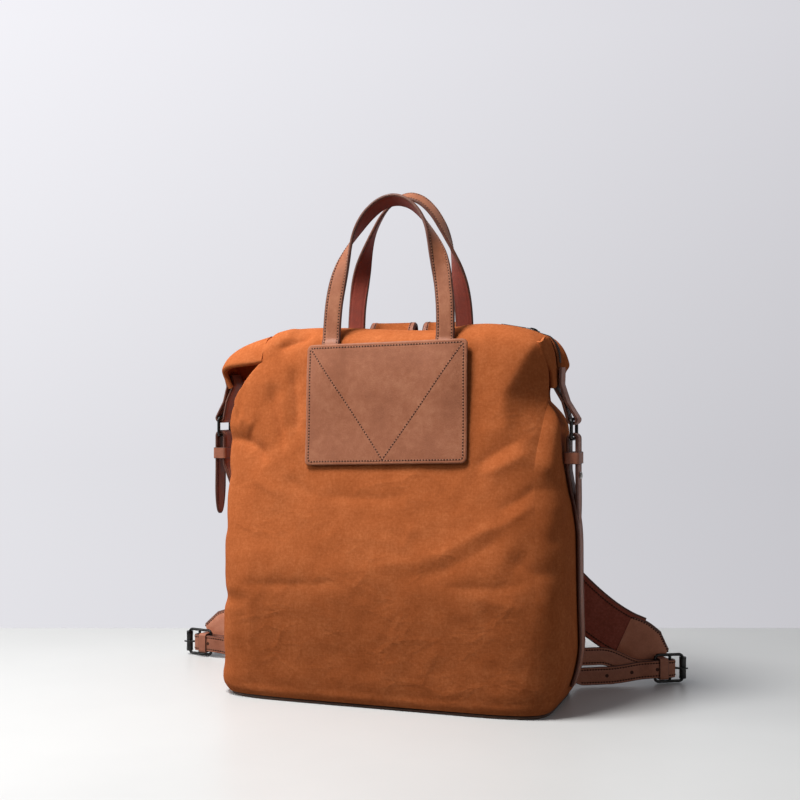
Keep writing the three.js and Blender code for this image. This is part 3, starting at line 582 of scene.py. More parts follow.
class Recipe(NodeTree):
    """A material's node tree, with short calls for the patterns that it needs."""

    def __init__(self, name, constants):
        self.material = bpy.data.materials.new(name)
        self.material.use_nodes = True
        super().__init__(self.material.node_tree)
        self.shader = self.tree.nodes["Principled BSDF"]
        for socket, value in constants.items():
            self.shader.inputs[socket].default_value = value
        self.places = self.node("TexCoord")

    def vector(self, source, scale):
        return self.node("Mapping", inputs={"Vector": self.places.outputs[source], "Scale": scale}).outputs[0]

    def noise(self, source, scale, detail=3.0, roughness=0.55, distortion=0.0):
        inputs = {
            "Vector": self.vector(source, scale), "Scale": 1.0, "Detail": detail,
            "Roughness": roughness, "Distortion": distortion,
        }
        return self.node("TexNoise", inputs=inputs).outputs[0]

    def cells(self, source, scale):
        inputs = {"Vector": self.vector(source, scale), "Scale": 1.0}
        return self.node("TexVoronoi", inputs=inputs).outputs["Distance"]

    def creases(self, scale, width):
        """Thin lines of crumpled cloth, which come and go."""
        places = self.vector("Object", scale)
        drift = self.node("TexNoise", inputs={"Vector": places, "Scale": 0.7, "Detail": 4.0}).outputs["Color"]
        moved = self.node("VectorMath", {"operation": "ADD"}, {0: places, 1: drift}).outputs[0]
        cells = self.node("TexVoronoi", {"feature": "DISTANCE_TO_EDGE"}, {"Vector": moved, "Scale": 1.0})
        lines = self.ramp(cells.outputs["Distance"], [(0.0, 1.0), (width, 0.0)])
        shown = self.ramp(self.noise("Object", (16, 16, 16), 2.0), [(0.44, 0.0), (0.62, 1.0)])
        return self.math("MULTIPLY", lines, shown)

    def math(self, operation, first, second):
        return self.node("Math", {"operation": operation}, {0: first, 1: second}).outputs[0]

    def blend(self, values):
        """Weighted sum of (value, weight) pairs."""
        total = None
        for value, weight in values:
            part = self.math("MULTIPLY", value, weight)
            total = part if total is None else self.math("ADD", total, part)
        return total

    def ramp(self, value, stops):
        made = self.node("ValToRGB", inputs={"Fac": value})
        elements = made.color_ramp.elements
        while len(elements) < len(stops):
            elements.new(0.5)
        for element, (place, colour) in zip(elements, stops):
            element.position = place
            element.color = (*colour, 1.0) if hasattr(colour, "__len__") else (colour, colour, colour, 1.0)
        return made.outputs["Color"]

    def bump(self, layers):
        """Bumps laid over each other: (height, strength, distance in metres)."""
        normal = None
        for height, strength, distance in layers:
            inputs = {"Height": height, "Strength": strength, "Distance": distance}
            if normal is not None:
                inputs["Normal"] = normal
            normal = self.node("Bump", inputs=inputs).outputs[0]
        self.feed(self.shader.inputs["Normal"], normal)

    def finish(self, colour, roughness=None):
        self.feed(self.shader.inputs["Base Color"], colour)
        if roughness is not None:
            self.feed(self.shader.inputs["Roughness"], roughness)
        return self.material


def cloth_material(name, dark, middle, light, sheen, thread):
    """Woven cloth: threads both ways, faded patches, small crinkles and paler ridges."""
    recipe = Recipe(name, {
        "Roughness": 0.95, "Specular IOR Level": 0.05, "Sheen Weight": sheen, "Sheen Roughness": 0.5,
        "Sheen Tint": (*light, 1.0),
    })
    warp = recipe.noise("UV", (thread, thread / 28, 1), 2.0)
    weft = recipe.noise("UV", (thread / 28, thread * 1.1, 1), 2.0)
    clouds = recipe.noise("Object", (19, 19, 14), 4.0, 0.6)
    patches = recipe.noise("Object", (75, 75, 60), 4.0, 0.6)
    crinkle = recipe.noise("Object", (58, 58, 74), 4.0, 0.6, 0.25)
    weave = recipe.blend([(warp, 0.5), (weft, 0.5)])
    specks = recipe.noise("Object", (420, 420, 420), 3.0, 0.6)
    tone = recipe.blend([(clouds, 0.22), (patches, 0.22), (specks, 0.36), (weave, 0.2)])
    colour = recipe.ramp(tone, [(0.36, dark), (0.5, middle), (0.64, light)])
    ridge = recipe.ramp(recipe.node("NewGeometry").outputs["Pointiness"], [(0.5, 0.0), (0.6, 1.0)])
    worn = recipe.tint(recipe.math("MULTIPLY", ridge, 0.35), colour, light)
    large = recipe.creases((17, 17, 22), 0.09)
    small = recipe.creases((40, 40, 52), 0.12)
    recipe.bump([(large, 0.2, 0.0011), (small, 0.16, 0.0006), (crinkle, 0.17, 0.002), (weave, 0.45, 0.0003)])
    return recipe.finish(worn)


def leather_material(name, dark, middle, light, roughness):
    """Leather: mottled dye, pale scuffs, fine pores and worn edges."""
    recipe = Recipe(name, {"Specular IOR Level": 0.38, "Sheen Weight": 0.08, "Sheen Roughness": 0.5})
    clouds = recipe.noise("Object", (26, 26, 26), 5.0, 0.62)
    mottle = recipe.noise("Object", (150, 150, 150), 4.0, 0.6)
    scuffs = recipe.noise("Object", (38, 60, 120), 7.0, 0.68, 1.2)
    pores = recipe.cells("Object", (1100, 1100, 1100))
    pebble = recipe.noise("Object", (620, 620, 620), 3.0, 0.6)
    tone = recipe.blend([(clouds, 0.5), (mottle, 0.3), (pebble, 0.2)])
    colour = recipe.ramp(tone, [(0.36, dark), (0.5, middle), (0.64, light)])
    scuffed = recipe.tint(recipe.ramp(scuffs, [(0.56, 0.0), (0.78, 0.4)]), colour, light)
    ridge = recipe.ramp(recipe.node("NewGeometry").outputs["Pointiness"], [(0.52, 0.0), (0.64, 1.0)])
    worn = recipe.tint(recipe.math("MULTIPLY", ridge, 0.3), scuffed, light)
    shine = recipe.ramp(mottle, [(0.3, roughness - 0.1), (0.7, roughness + 0.1)])
    recipe.bump([(pebble, 0.3, 0.0004), (pores, 0.25, 0.0003), (mottle, 0.12, 0.0012)])
    return recipe.finish(worn, shine)


def metal_material(name, dark, light, roughness):
    """Plated metal with a cloudy sheen and rubbed edges."""
    recipe = Recipe(name, {"Metallic": 1.0, "Specular IOR Level": 0.5})
    clouds = recipe.noise("Object", (160, 160, 160), 4.0, 0.6)
    scratches = recipe.noise("Object", (900, 120, 900), 3.0, 0.6)
    ridge = recipe.ramp(recipe.node("NewGeometry").outputs["Pointiness"], [(0.52, 0.0), (0.66, 1.0)])
    tone = recipe.blend([(clouds, 0.6), (scratches, 0.4)])
    plated = recipe.ramp(tone, [(0.35, dark), (0.7, light)])
    colour = recipe.tint(recipe.math("MULTIPLY", ridge, 0.5), plated, light)
    shine = recipe.ramp(tone, [(0.3, roughness - 0.08), (0.7, roughness + 0.12)])
    recipe.bump([(scratches, 0.08, 0.0003)])
    return recipe.finish(colour, shine)


def plain_material(name, dark, light, roughness, scale):
    """A small or background surface with slight mottling."""
    recipe = Recipe(name, {"Specular IOR Level": 0.3})
    tone = recipe.noise("Object", (scale, scale, scale), 4.0, 0.6)
    shine = recipe.ramp(tone, [(0.3, roughness - 0.05), (0.7, roughness + 0.05)])
    return recipe.finish(recipe.ramp(tone, [(0.35, dark), (0.65, light)]), shine)


def floor_material(name, dark, light, bounce):
    """A pale studio floor that throws little light back on to what stands on it."""
    recipe = Recipe(name, {"Specular IOR Level": 0.3, "Roughness": 0.36})
    tone = recipe.ramp(recipe.noise("Object", (3, 3, 3), 4.0, 0.6), [(0.35, dark), (0.65, light)])
    rays = recipe.node("LightPath")
    return recipe.finish(recipe.tint(rays.outputs["Is Diffuse Ray"], tone, bounce))


CANVAS = cloth_material(
    "canvas", (0.35, 0.088, 0.024), (0.43, 0.117, 0.036), (0.53, 0.162, 0.056), sheen=0.03, thread=1500,
)
LINING = cloth_material(
    "lining", (0.10, 0.035, 0.015), (0.13, 0.045, 0.02), (0.17, 0.06, 0.028), sheen=0.1, thread=1800,
)
MAROON = cloth_material(
    "strap_lining", (0.27, 0.070, 0.046), (0.36, 0.096, 0.064), (0.46, 0.14, 0.1), sheen=0.2, thread=1100,
)
TAN = leather_material(
    "tan_leather", (0.26, 0.083, 0.036), (0.32, 0.106, 0.047), (0.40, 0.152, 0.075), roughness=0.58,
)
PALE_TAN = leather_material(
    "pale_leather", (0.46, 0.165, 0.09), (0.55, 0.205, 0.118), (0.63, 0.265, 0.165), roughness=0.58,
)
RUSSET = leather_material(
    "russet_leather", (0.29, 0.098, 0.053), (0.37, 0.13, 0.072), (0.46, 0.18, 0.11), roughness=0.55,
)
# Handles' inner face: dark brick leather, made darker still as painted shade of the handle's inner side
SHADED_BRICK = leather_material(
    "brick_leather_painted_shade", (0.16, 0.024, 0.012), (0.205, 0.03, 0.015), (0.26, 0.044, 0.023), roughness=0.7,
)
BURNISHED = leather_material(
    "burnished_edge", (0.07, 0.022, 0.012), (0.10, 0.03, 0.017), (0.16, 0.055, 0.03), roughness=0.5,
)
BASE_LEATHER = leather_material(
    "base_leather", (0.045, 0.02, 0.012), (0.065, 0.028, 0.016), (0.1, 0.045, 0.026), roughness=0.6,
)
GUNMETAL = metal_material(
    "gunmetal", (0.018, 0.018, 0.019), (0.06, 0.058, 0.056), roughness=0.34,
)
NICKEL = metal_material(
    "nickel", (0.42, 0.41, 0.39), (0.62, 0.6, 0.57), roughness=0.3,
)
THREAD = plain_material(
    "thread", (0.34, 0.15, 0.09), (0.48, 0.25, 0.165), roughness=0.7, scale=900,
)
BROWN_THREAD = plain_material(
    "brown_thread", (0.09, 0.032, 0.018), (0.15, 0.055, 0.032), roughness=0.7, scale=900,
)
# Needle and punched holes: the holes are real, their dark colour is painted shade
PAINTED_HOLE_SHADE = plain_material(
    "needle_hole_painted_shade", (0.05, 0.016, 0.009), (0.075, 0.024, 0.014), roughness=0.9, scale=900,
)
ZIP_TAPE = cloth_material(
    "zip_tape", (0.17, 0.05, 0.018), (0.22, 0.065, 0.024), (0.28, 0.09, 0.036), sheen=0.1, thread=1900,
)
FLOOR = floor_material(
    "floor", (0.67, 0.68, 0.685), (0.70, 0.71, 0.715), (0.10, 0.10, 0.10),
)


# Camera, floor, backdrop and light: the view is level, from the front and a little to the right
VIEW_YAW = math.radians(19)
VIEW_DISTANCE = 1.2
VIEW_HEIGHT = 0.28
VIEW_SIDESTEP = -0.0025
LENS = 56.25
RIGHTWARDS = np.array([math.cos(VIEW_YAW), math.sin(VIEW_YAW), 0])
AHEAD = np.array([-math.sin(VIEW_YAW), math.cos(VIEW_YAW), 0])

camera = bpy.data.objects.new("camera", bpy.data.cameras.new("camera"))
camera.location = AXIS_Z * VIEW_HEIGHT - AHEAD * VIEW_DISTANCE + RIGHTWARDS * VIEW_SIDESTEP
camera.rotation_euler = (math.radians(90), 0, VIEW_YAW)
camera.data.lens = LENS
camera.data.sensor_width = 36
bpy.context.scene.collection.objects.link(camera)
bpy.context.scene.camera = camera
bpy.context.scene.view_settings.view_transform = "Standard"

# The floor ends behind the bag, where the backdrop begins
FLOOR_BEHIND = 335
FLOOR_BEFORE = 1000
FLOOR_HALF = 1300
floor_corners = [
    AHEAD * FLOOR_BEHIND - RIGHTWARDS * FLOOR_HALF,
    AHEAD * FLOOR_BEHIND + RIGHTWARDS * FLOOR_HALF,
    -AHEAD * FLOOR_BEFORE + RIGHTWARDS * FLOOR_HALF,
    -AHEAD * FLOOR_BEFORE - RIGHTWARDS * FLOOR_HALF,
]
floor = make_piece("floor", floor_corners, [[0, 3, 2, 1]], [FLOOR])

# The backdrop darkens to the right and brightens upwards; the light that it throws comes mostly from behind
BACKDROP_LEFT = (0.80, 0.795, 0.835)
BACKDROP_RIGHT = (0.60, 0.595, 0.63)
BACKDROP_TURN = (-0.3, 0.3)
BACKDROP_HEIGHTS = (-0.05, 0.28)
BACKDROP_STRENGTHS = (0.96, 1.13)
AMBIENT_BEFORE = (0.11, 0.113, 0.118)
AMBIENT_BEHIND = (0.50, 0.51, 0.54)
AMBIENT_TURN = (0.15, 0.9)

world = bpy.data.worlds.new("studio")
bpy.context.scene.world = world
world.use_nodes = True
sky = NodeTree(world.node_tree)
direction = sky.node("TexCoord").outputs["Generated"]


def share_towards(aim, turn, shares=(0, 1)):
    """Share that grows as a direction turns towards an aim."""
    facing = sky.node("VectorMath", {"operation": "DOT_PRODUCT"}, {0: direction, 1: aim}).outputs["Value"]
    inputs = {
        "Value": facing, "From Min": turn[0], "From Max": turn[1], "To Min": shares[0], "To Max": shares[1],
    }
    return sky.node("MapRange", inputs=inputs).outputs["Result"]


shown = sky.node("Background", inputs={
    "Color": sky.tint(share_towards(RIGHTWARDS, BACKDROP_TURN), BACKDROP_LEFT, BACKDROP_RIGHT),
    "Strength": share_towards(AXIS_Z, BACKDROP_HEIGHTS, BACKDROP_STRENGTHS),
})
ambient = world.node_tree.nodes["Background"]
ambient_tint = sky.tint(share_towards(AHEAD, AMBIENT_TURN), AMBIENT_BEFORE, AMBIENT_BEHIND)
sky.feed(ambient.inputs["Color"], ambient_tint)
seen = sky.node("LightPath").outputs["Is Camera Ray"]
choice = sky.node("MixShader", inputs={0: seen, 1: ambient.outputs[0], 2: shown.outputs[0]})
sky.feed(world.node_tree.nodes["World Output"].inputs["Surface"], choice.outputs[0])


def area_light(name, place, aim, size, power, colour):
    light = bpy.data.lights.new(name, "AREA")
    light.shape = "DISK"
    light.size = size
    light.energy = power
    light.color = colour
    made = bpy.data.objects.new(name, light)
    made.location = place
    made.rotation_euler = (Vector(aim) - Vector(place)).to_track_quat("-Z", "Y").to_euler()
    bpy.context.scene.collection.objects.link(made)


KEY_AT = -RIGHTWARDS * 0.48 - AHEAD * 0.32 + AXIS_Z * 1.28
FILL_AT = RIGHTWARDS * 1.0 - AHEAD * 0.8 + AXIS_Z * 0.35
WINDOW_AT = -RIGHTWARDS * 1.3 - AHEAD * 0.1 + AXIS_Z * 0.6
area_light("key", KEY_AT, (0, -0.03, 0.2), 0.45, 20, (1.0, 0.985, 0.96))
area_light("fill", FILL_AT, (0.1, 0.05, 0.12), 0.8, 1.4, (1.0, 0.99, 0.98))
area_light("window", WINDOW_AT, (0, 0, 0.2), 0.6, 8.0, (1.0, 0.98, 0.95))


# Folds of the canvas. Each crease is a line of (distance from the middle, height) on a wall, its half width
# and its height; hollows are negative.
FRONT_CREASES = [
    ([(-97, 347), (-120, 341), (-138, 333)], 9, 2.6),
    ([(-78, 344), (-98, 337), (-119, 328)], 6, -4.0),
    ([(-150, 300), (-140, 262), (-136, 230)], 5, -1.0),
    ([(-120, 300), (-112, 275), (-100, 228)], 7, -3.4),
    ([(-99, 316), (-92, 280), (-88, 240)], 6, -3.2),
    ([(-108, 290), (-102, 252)], 5, 1.4),
    ([(-165, 246), (-138, 239), (-126, 232), (-118, 214)], 7, -3.2),
    ([(-152, 264), (-134, 253)], 11, 1.8),
    ([(136, 247), (117, 239), (100, 229), (83, 216)], 8, -1.8),
    ([(142, 237), (124, 227), (107, 218), (88, 212)], 8, 1.6),
    ([(150, 210), (126, 190), (104, 180)], 6, -1.2),
    ([(149, 222), (148, 187)], 4, 1.0),
    ([(146, 190), (112, 168), (84, 160)], 6, 1.1),
    ([(-140, 210), (-112, 196), (-86, 192)], 6, 0.9),
    ([(-100, 209), (-80, 198), (-60, 189)], 7, -1.2),
    ([(-65, 192), (0, 190), (30, 193)], 6, -0.9),
    ([(124, 182), (73, 148), (45, 136), (8, 131), (-28, 117)], 9, 1.3),
    ([(128, 168), (80, 137), (48, 125), (20, 121)], 9, -1.2),
    ([(36, 170), (22, 141)], 6, 0.8),
    ([(-152, 107), (-96, 109), (-42, 113), (-17, 118)], 5, -1.0),
    ([(50, 114), (107, 115), (148, 121)], 6, -1.0),
    ([(118, 145), (168, 112)], 15, -2.5),
    ([(84, 107), (143, 96)], 8, 0.8),
    ([(-60, 160), (0, 152), (30, 154)], 9, 0.7),
    ([(-128, 150), (-126, 90), (-124, 20)], 8, 0.8),
]
BACK_CREASES = [
    ([(-120, 240), (-60, 226), (-10, 232)], 9, -3.5),
    ([(20, 214), (80, 206), (140, 222)], 9, -3.5),
    ([(-140, 170), (-70, 150), (0, 146)], 9, 3.0),
    ([(10, 132), (70, 126), (140, 140)], 8, -3.0),
    ([(-130, 100), (-60, 96), (20, 104)], 8, -3.0),
    ([(-120, 300), (-96, 262), (-92, 226)], 8, -3.0),
    ([(112, 304), (100, 270), (104, 232)], 8, -3.0),
]
# Side walls: lines of (distance behind the middle, height)
GUSSET_CREASES = [
    ([(-60, 150), (-30, 168), (-14, 186)], 8, -3.0),
    ([(58, 140), (32, 160), (14, 182)], 8, -3.0),
    ([(-66, 96), (-34, 104), (-14, 100)], 8, -2.5),
    ([(66, 84), (36, 92), (15, 88)], 8, -2.5),
    ([(-52, 214), (-30, 206), (-14, 208)], 7, -2.5),
    ([(50, 216), (30, 208), (14, 210)], 7, -2.5),
]
# The front wall's right shoulder is pushed in under the fold: deepest place, edge of the hollow and depth
SHOULDER_HOLLOW = (
    (148, 284),
    [(141, 338), (111, 284), (115, 254), (142, 218), (172, 228), (172, 320)],
    -25.0,
)
# How far each side wall swells out, the heights where that starts and stops, and where its seams are set back
GUSSET_BULGE = {"left": 0.0, "right": 6.5}
BULGE_STARTS = (10, 60)
BULGE_STOPS = (150, 230)
SET_BACK_BAND = (262, 300)
TUCK_STEEP = 6
SEAM_SET_BACK = 3.2

# The front wall is fullest below its middle
BELLY = [(125, 45, 1.2), (30, 40, -2.2)]
# Places where a wall's side edge is drawn out or, where negative, in: side, level, half height and distance
EDGE_DRAWS = {
    "front": [(-1, 279, 14, 8), (-1, 92, 8, -3.5), (-1, 55, 22, 1.5), (-1, 13, 11, 5)],
    "back": [(1, 288, 26, -10)],
}

# Leather that lies on the canvas, as boxes of lowest and highest distance and height: it swells nowhere there
FRONT_COVERED = [(-85, 85, 214, 340), (-72, -45, 318, 348), (40, 67, 318, 348)]
BACK_COVERED = [(-54, 54, 270, 310), (-72, -45, 308, 342), (40, 67, 308, 342)]
GUSSET_COVERED = [(-12, 12, 12, 202)]
COVER_EDGE = 5
# Slack cloth: heights of its swell, the spans of its noise, and how far each wall's noise is shifted
SWELL_BROAD = 1.2
SWELL_FINE = 0.35
WRINKLE = 0.7
BROAD_SPAN = 62
FINE_SPAN = 21
FINE_UPRIGHT = 1.5
WRINKLE_SPAN = 34
WRINKLE_LEVEL = 0.3
BEND_SPAN = 70
BEND = 0.9
SEED_SHIFT = (17.3, 5.1, 9.7)
# The power is below 2, so that the bottom of a fold is crisp
CREASE_POWER = 1.25
CREASE_TAPER = 0.3
CREASE_POINTS = 36
FRONT_FOLDS = 1.35
ROLL_STEPS = 6
END_CROWDING = 0.45
FINE_FRACTIONS = np.linspace(0, 1, 800)

# Without a seed, vector noise starts from the clock and changes with each run
NOISE_SEED = 1
noise.seed_set(NOISE_SEED)


def crease_relief(first, second, creases):
    """Height that a list of creases gives to places on a wall."""
    relief = np.zeros(first.shape)
    for line, half_width, height in creases:
        line = np.array([(*place, 0.0) for place in line])
        fine = curve_through(line, CREASE_POINTS)[:, :2]
        nearest = np.full(first.shape, np.inf)
        along = np.zeros(first.shape)
        for step, (a, b) in enumerate(fine):
            distance = (first - a) ** 2 + (second - b) ** 2
            along = np.where(distance < nearest, step / (len(fine) - 1), along)
            nearest = np.minimum(nearest, distance)
        taper = smoothstep(along, 0, CREASE_TAPER) * smoothstep(1 - along, 0, CREASE_TAPER)
        relief += height * taper * np.exp(-(np.sqrt(nearest) / half_width) ** CREASE_POWER)
    return relief


def hollow_relief(first, second, hollow):
    """A pushed-in place with flat sides between its deepest point and its edge."""
    apex, ring, depth = hollow
    relief = np.zeros(first.shape)
    for start, end in zip(ring, ring[1:] + ring[:1]):
        sides = np.array([np.subtract(start, apex), np.subtract(end, apex)], float).T
        shares = np.linalg.inv(sides) @ np.stack([(first - apex[0]).ravel(), (second - apex[1]).ravel()])
        one, two = shares.reshape(2, *first.shape)
        inside = (one >= 0) & (two >= 0) & (one + two <= 1)
        relief = np.where(inside, depth * (1 - one - two), relief)
    return relief


def covered_share(first, second, boxes):
    """1 under leather that lies on the wall, falling to 0 beside it."""
    share = np.zeros(first.shape)
    for low, high, bottom, top in boxes:
        beside = smoothstep(first, low - COVER_EDGE, low) * smoothstep(-first, -high - COVER_EDGE, -high)
        upright = smoothstep(second, bottom - COVER_EDGE, bottom)
        upright = upright * smoothstep(-second, -top - COVER_EDGE, -top)
        share = np.maximum(share, beside * upright)
    return share


def swell(points, seed):
    """Broad and fine unevenness of slack cloth."""
    flat = points.reshape(-1, 3)
    shift = Vector([seed * step for step in SEED_SHIFT])
    broad = np.array([noise.noise(Vector(p) / BROAD_SPAN + shift) for p in flat])
    drawn = [Vector((p[0], p[1], p[2] * FINE_UPRIGHT)) for p in flat]
    fine = np.array([noise.noise(p / FINE_SPAN + shift) for p in drawn])
    bent = [Vector(p) / WRINKLE_SPAN + noise.noise_vector(Vector(p) / BEND_SPAN + shift) * BEND for p in flat]
    wrinkle = WRINKLE_LEVEL - np.abs([noise.noise(p - shift) for p in bent])
    return (SWELL_BROAD * broad + SWELL_FINE * fine + WRINKLE * wrinkle).reshape(points.shape[:2])


def soften(relief, passes):
    """Evens a relief out with its neighbours, a number of times."""
    for _ in range(passes):
        padded = np.pad(relief, 1, mode="edge")
        upright = padded[:-2, 1:-1] + padded[2:, 1:-1]
        beside = padded[1:-1, :-2] + padded[1:-1, 2:]
        relief = (upright + beside + 2 * relief) / 6
    return relief


def fold_cloth(grid, normals, relief, covered, still):
    """Moves cloth by its relief, outwards only where nothing lies on it; still is 1 where it is sewn."""
    kept = np.where(relief > 0, relief * (1 - covered), relief)
    return grid + normals * (kept * (1 - still))[..., None]


def roll_edges(grid, normals, radius, degrees):
    """Turns the two side edges of a grid of cloth inwards, in a round fold."""
    angles = np.radians(np.linspace(0, degrees, ROLL_STEPS + 1)[1:])
    rolled = []
    turned = []
    for edge, beside in ((0, 1), (-1, -2)):
        tangent = unit(grid[:, edge] - grid[:, beside])
        normal = normals[:, edge]
        turned.append([math.cos(a) * normal + math.sin(a) * tangent for a in angles])
        moves = [math.sin(a) * tangent - (1 - math.cos(a)) * normal for a in angles]
        rolled.append([grid[:, edge] + radius * move for move in moves])
    before, after = [np.stack(points, axis=1) for points in rolled]
    normal_before, normal_after = [np.stack(points, axis=1) for points in turned]
    wide = np.concatenate([before[:, ::-1], grid, after], axis=1)
    return wide, np.concatenate([normal_before[:, ::-1], normals, normal_after], axis=1)


def dense_ends(count):
    """Shares from -1 to 1 that lie closer together towards both ends."""
    even = np.linspace(-1, 1, count)
    return even * (1 + END_CROWDING - END_CROWDING * even**2)


def gusset_bulge(side, along, height):
    """How far a side wall swells out between its seams."""
    upright = smoothstep(height, *BULGE_STARTS) * (1 - smoothstep(height, *BULGE_STOPS))
    return SIDES[side] * GUSSET_BULGE[side] * (1 - along**2) * upright


def deeper_tuck(along, height):
    """How much further than its plain shape a side wall is tucked in close behind its seams."""
    share = np.abs(along) ** TUCK_POWER - np.abs(along) ** TUCK_STEEP
    return share * smooth(TUCK[:, 0], TUCK[:, 1], height) * smoothstep(height, *SET_BACK_BAND)


def even_rows(line, fractions, count):
    """Fractions that lie evenly along a wall, from a line of its points at many fractions."""
    along = lengths_along(line)
    return np.interp(np.linspace(0, along[-1], count), along, fractions)


# Front and back walls. Bands are lowest and highest values between which something sets in.
PANEL_COLUMNS = 165
PANEL_ROWS = 195
PANEL_ROLL = 0.8
SHOULDER_ROLL = 5.0
SHOULDER_BAND = (275, 315)
PANEL_TURN = 110
HOLLOW_PASSES = 9
HEM_BAND = (-14, -HEM_HEIGHT)
RIDGE_BAND = (0.9, 0.98)
SEAM_BAND = (0.93, 1.0)
SEAM_HEIGHTS = (310, 324)
DRAW_BAND = (95, 145)
CLOTH_MATERIALS = [CANVAS, LINING]
EDGE_COLUMNS = {"left": 0, "right": -1}
panel_edges = {}
edge_shifts = {}


def panel_relief(face, x, z):
    """Folds of the front or back wall, and where leather covers it."""
    if face == "back":
        return crease_relief(x, z, BACK_CREASES), covered_share(x, z, BACK_COVERED)
    belly = sum(height * np.exp(-((z - level) / span) ** 2) for level, span, height in BELLY)
    return FRONT_FOLDS * crease_relief(x, z, FRONT_CREASES) + belly, covered_share(x, z, FRONT_COVERED)


def dress_panel(face, sign):
    """The front or back wall with its folds and rolled side edges."""
    rows = even_rows(panel_point(face, 0.0, FINE_FRACTIONS), FINE_FRACTIONS, PANEL_ROWS)
    columns = dense_ends(PANEL_COLUMNS)[None, :]
    grid = panel_point(face, columns, rows[:, None])
    x = grid[..., 0]
    z = grid[..., 2]
    relief, covered = panel_relief(face, x, z)
    relief = soften(relief + swell(grid, sign), 1)
    sewn_side = smoothstep(np.abs(columns), *SEAM_BAND) * smoothstep(z, *SEAM_HEIGHTS)
    sewn_end = np.maximum(smoothstep(-z, *HEM_BAND), smoothstep(rows, *RIDGE_BAND)[:, None])
    normals = grid_normals(grid, AXIS_Y * sign)
    shaped = fold_cloth(grid, normals, relief, covered, np.maximum(sewn_side, sewn_end))
    if face == "front":
        shaped[..., 1] -= soften(hollow_relief(x, z, SHOULDER_HOLLOW), HOLLOW_PASSES) * (1 - sewn_end)
    for end, level, span, draw in EDGE_DRAWS[face]:
        shaped[..., 0] += end * draw * np.exp(-((z - level) / span) ** 2) * smoothstep(end * x, *DRAW_BAND)
    for side, column in EDGE_COLUMNS.items():
        panel_edges[face, side] = shaped[:, column]
        edge_shifts[face, side] = (rows, shaped[:, column] - grid[:, column])
    shoulder = smoothstep(rows, *[fraction_at(height) for height in SHOULDER_BAND])[:, None]
    radius = mix(PANEL_ROLL, SHOULDER_ROLL, shoulder)
    shaped, normals = roll_edges(shaped, grid_normals(shaped, AXIS_Y * sign), radius, PANEL_TURN)
    dress(wall_piece(f"canvas_{face}", shaped, normals, CLOTH_MATERIALS), "canvas", f"{face}_panel")


for face, sign in FACES.items():
    dress_panel(face, sign)

# Side walls, which follow the edges of the front and back walls
GUSSET_COLUMNS = 81
GUSSET_ROWS = 175
GUSSET_PASSES = 3
GUSSET_SEED = 3
GUSSET_SEAMS = (0.8, 1.0)


def dress_gusset(side, sign):
    """A side wall, tucked in under the folded top."""
    fine = FINE_FRACTIONS * GUSSET_TOP
    rows = even_rows(gusset_point(side, 1.0, fine), fine, GUSSET_ROWS)
    along = dense_ends(GUSSET_COLUMNS)[None, :]
    grid = gusset_point(side, along, rows[:, None])
    y = grid[..., 1]
    z = grid[..., 2]
    relief = soften(crease_relief(y, z, GUSSET_CREASES) + swell(grid, GUSSET_SEED + sign), GUSSET_PASSES)
    still = np.maximum(smoothstep(np.abs(along), *GUSSET_SEAMS), smoothstep(-z, *HEM_BAND))
    covered = covered_share(y, z, GUSSET_COVERED)
    shaped = fold_cloth(grid, grid_normals(grid, AXIS_X * sign), relief, covered, still)
    for face, end in FACES.items():
        near = np.clip(along * end, 0, 1)
        shaped += near[..., None] * read_at(rows, *edge_shifts[face, side])[:, None]
        shaped[..., 1] -= end * SEAM_SET_BACK * near**2 * smoothstep(z, *SET_BACK_BAND)
    shaped[..., 0] += gusset_bulge(side, along, z) - sign * deeper_tuck(along, z)
    normals = grid_normals(shaped, AXIS_X * sign)
    dress(wall_piece(f"canvas_gusset_{side}", shaped, normals, CLOTH_MATERIALS), "canvas", f"gusset_{side}")


for side, sign in SIDES.items():
    dress_gusset(side, sign)

# Folded wings, grooved for the zip
WING_COLUMNS = 61
WING_ROWS = 61
WING_PASSES = 2
WING_SEED = 7
WING_COVER = 0.35
WING_TIP_COVER = 0.8
WING_ROOT = (0.0, 0.15)
WING_ROLL = 3.2
WING_TURN = 165
GROOVE_END = (-0.86, -0.76)


def dress_wing(side, sign):
    """A folded end of the top, with its edges rolled under."""
    across = np.linspace(-1, 1, WING_COLUMNS)[None, :]
    along = np.linspace(0, 1, WING_ROWS)[:, None]
    grid = wing_point(side, across, along)
    normals = grid_normals(grid, AXIS_X * sign + AXIS_Z)
    relief = soften(swell(grid, WING_SEED + sign), WING_PASSES)
    covered = np.maximum(np.abs(across) < WING_COVER, along > WING_TIP_COVER)
    shaped = fold_cloth(grid, normals, relief, covered, 1 - smoothstep(along, *WING_ROOT))
    groove = ZIP_GROOVE * np.exp(-(grid[..., 1] / ZIP_WIDTH) ** 4) * smoothstep(-along, *GROOVE_END)
    shaped, normals = roll_edges(shaped - normals * groove[..., None], normals, WING_ROLL, WING_TURN)
    dress(wall_piece(f"canvas_wing_{side}", shaped, normals, [CANVAS, CANVAS]), "canvas", f"wing_{side}")


for side, sign in SIDES.items():
    dress_wing(side, sign)

# Welted seams at the two upright corners of the back
WELT_RADIUS = 0.6
WELT_TOP = 236
WELT_POINTS = 150
for side in SIDES:
    edge = panel_edges["back", side]
    edge = resample(edge[edge[:, 2] < WELT_TOP], WELT_POINTS)
    dress(tube_piece(f"welt_{side}", edge, WELT_RADIUS, [CANVAS], sides=10), "canvas")

# Leather base with a rolled edge, inside the canvas hem: inset and level from its underside to its top
BASE_INSET = 1.2
BASE_THICK = HEM_HEIGHT - 2 * SEAM
BASE_SIDES = 160
BASE_EDGE = [
    (14, 0.0), (1.2, 0.0), (0.35, 0.4), (0.0, 1.2),
    (0.1, 2.1), (0.8, 2.8), (3.0, BASE_THICK), (14, BASE_THICK),
]


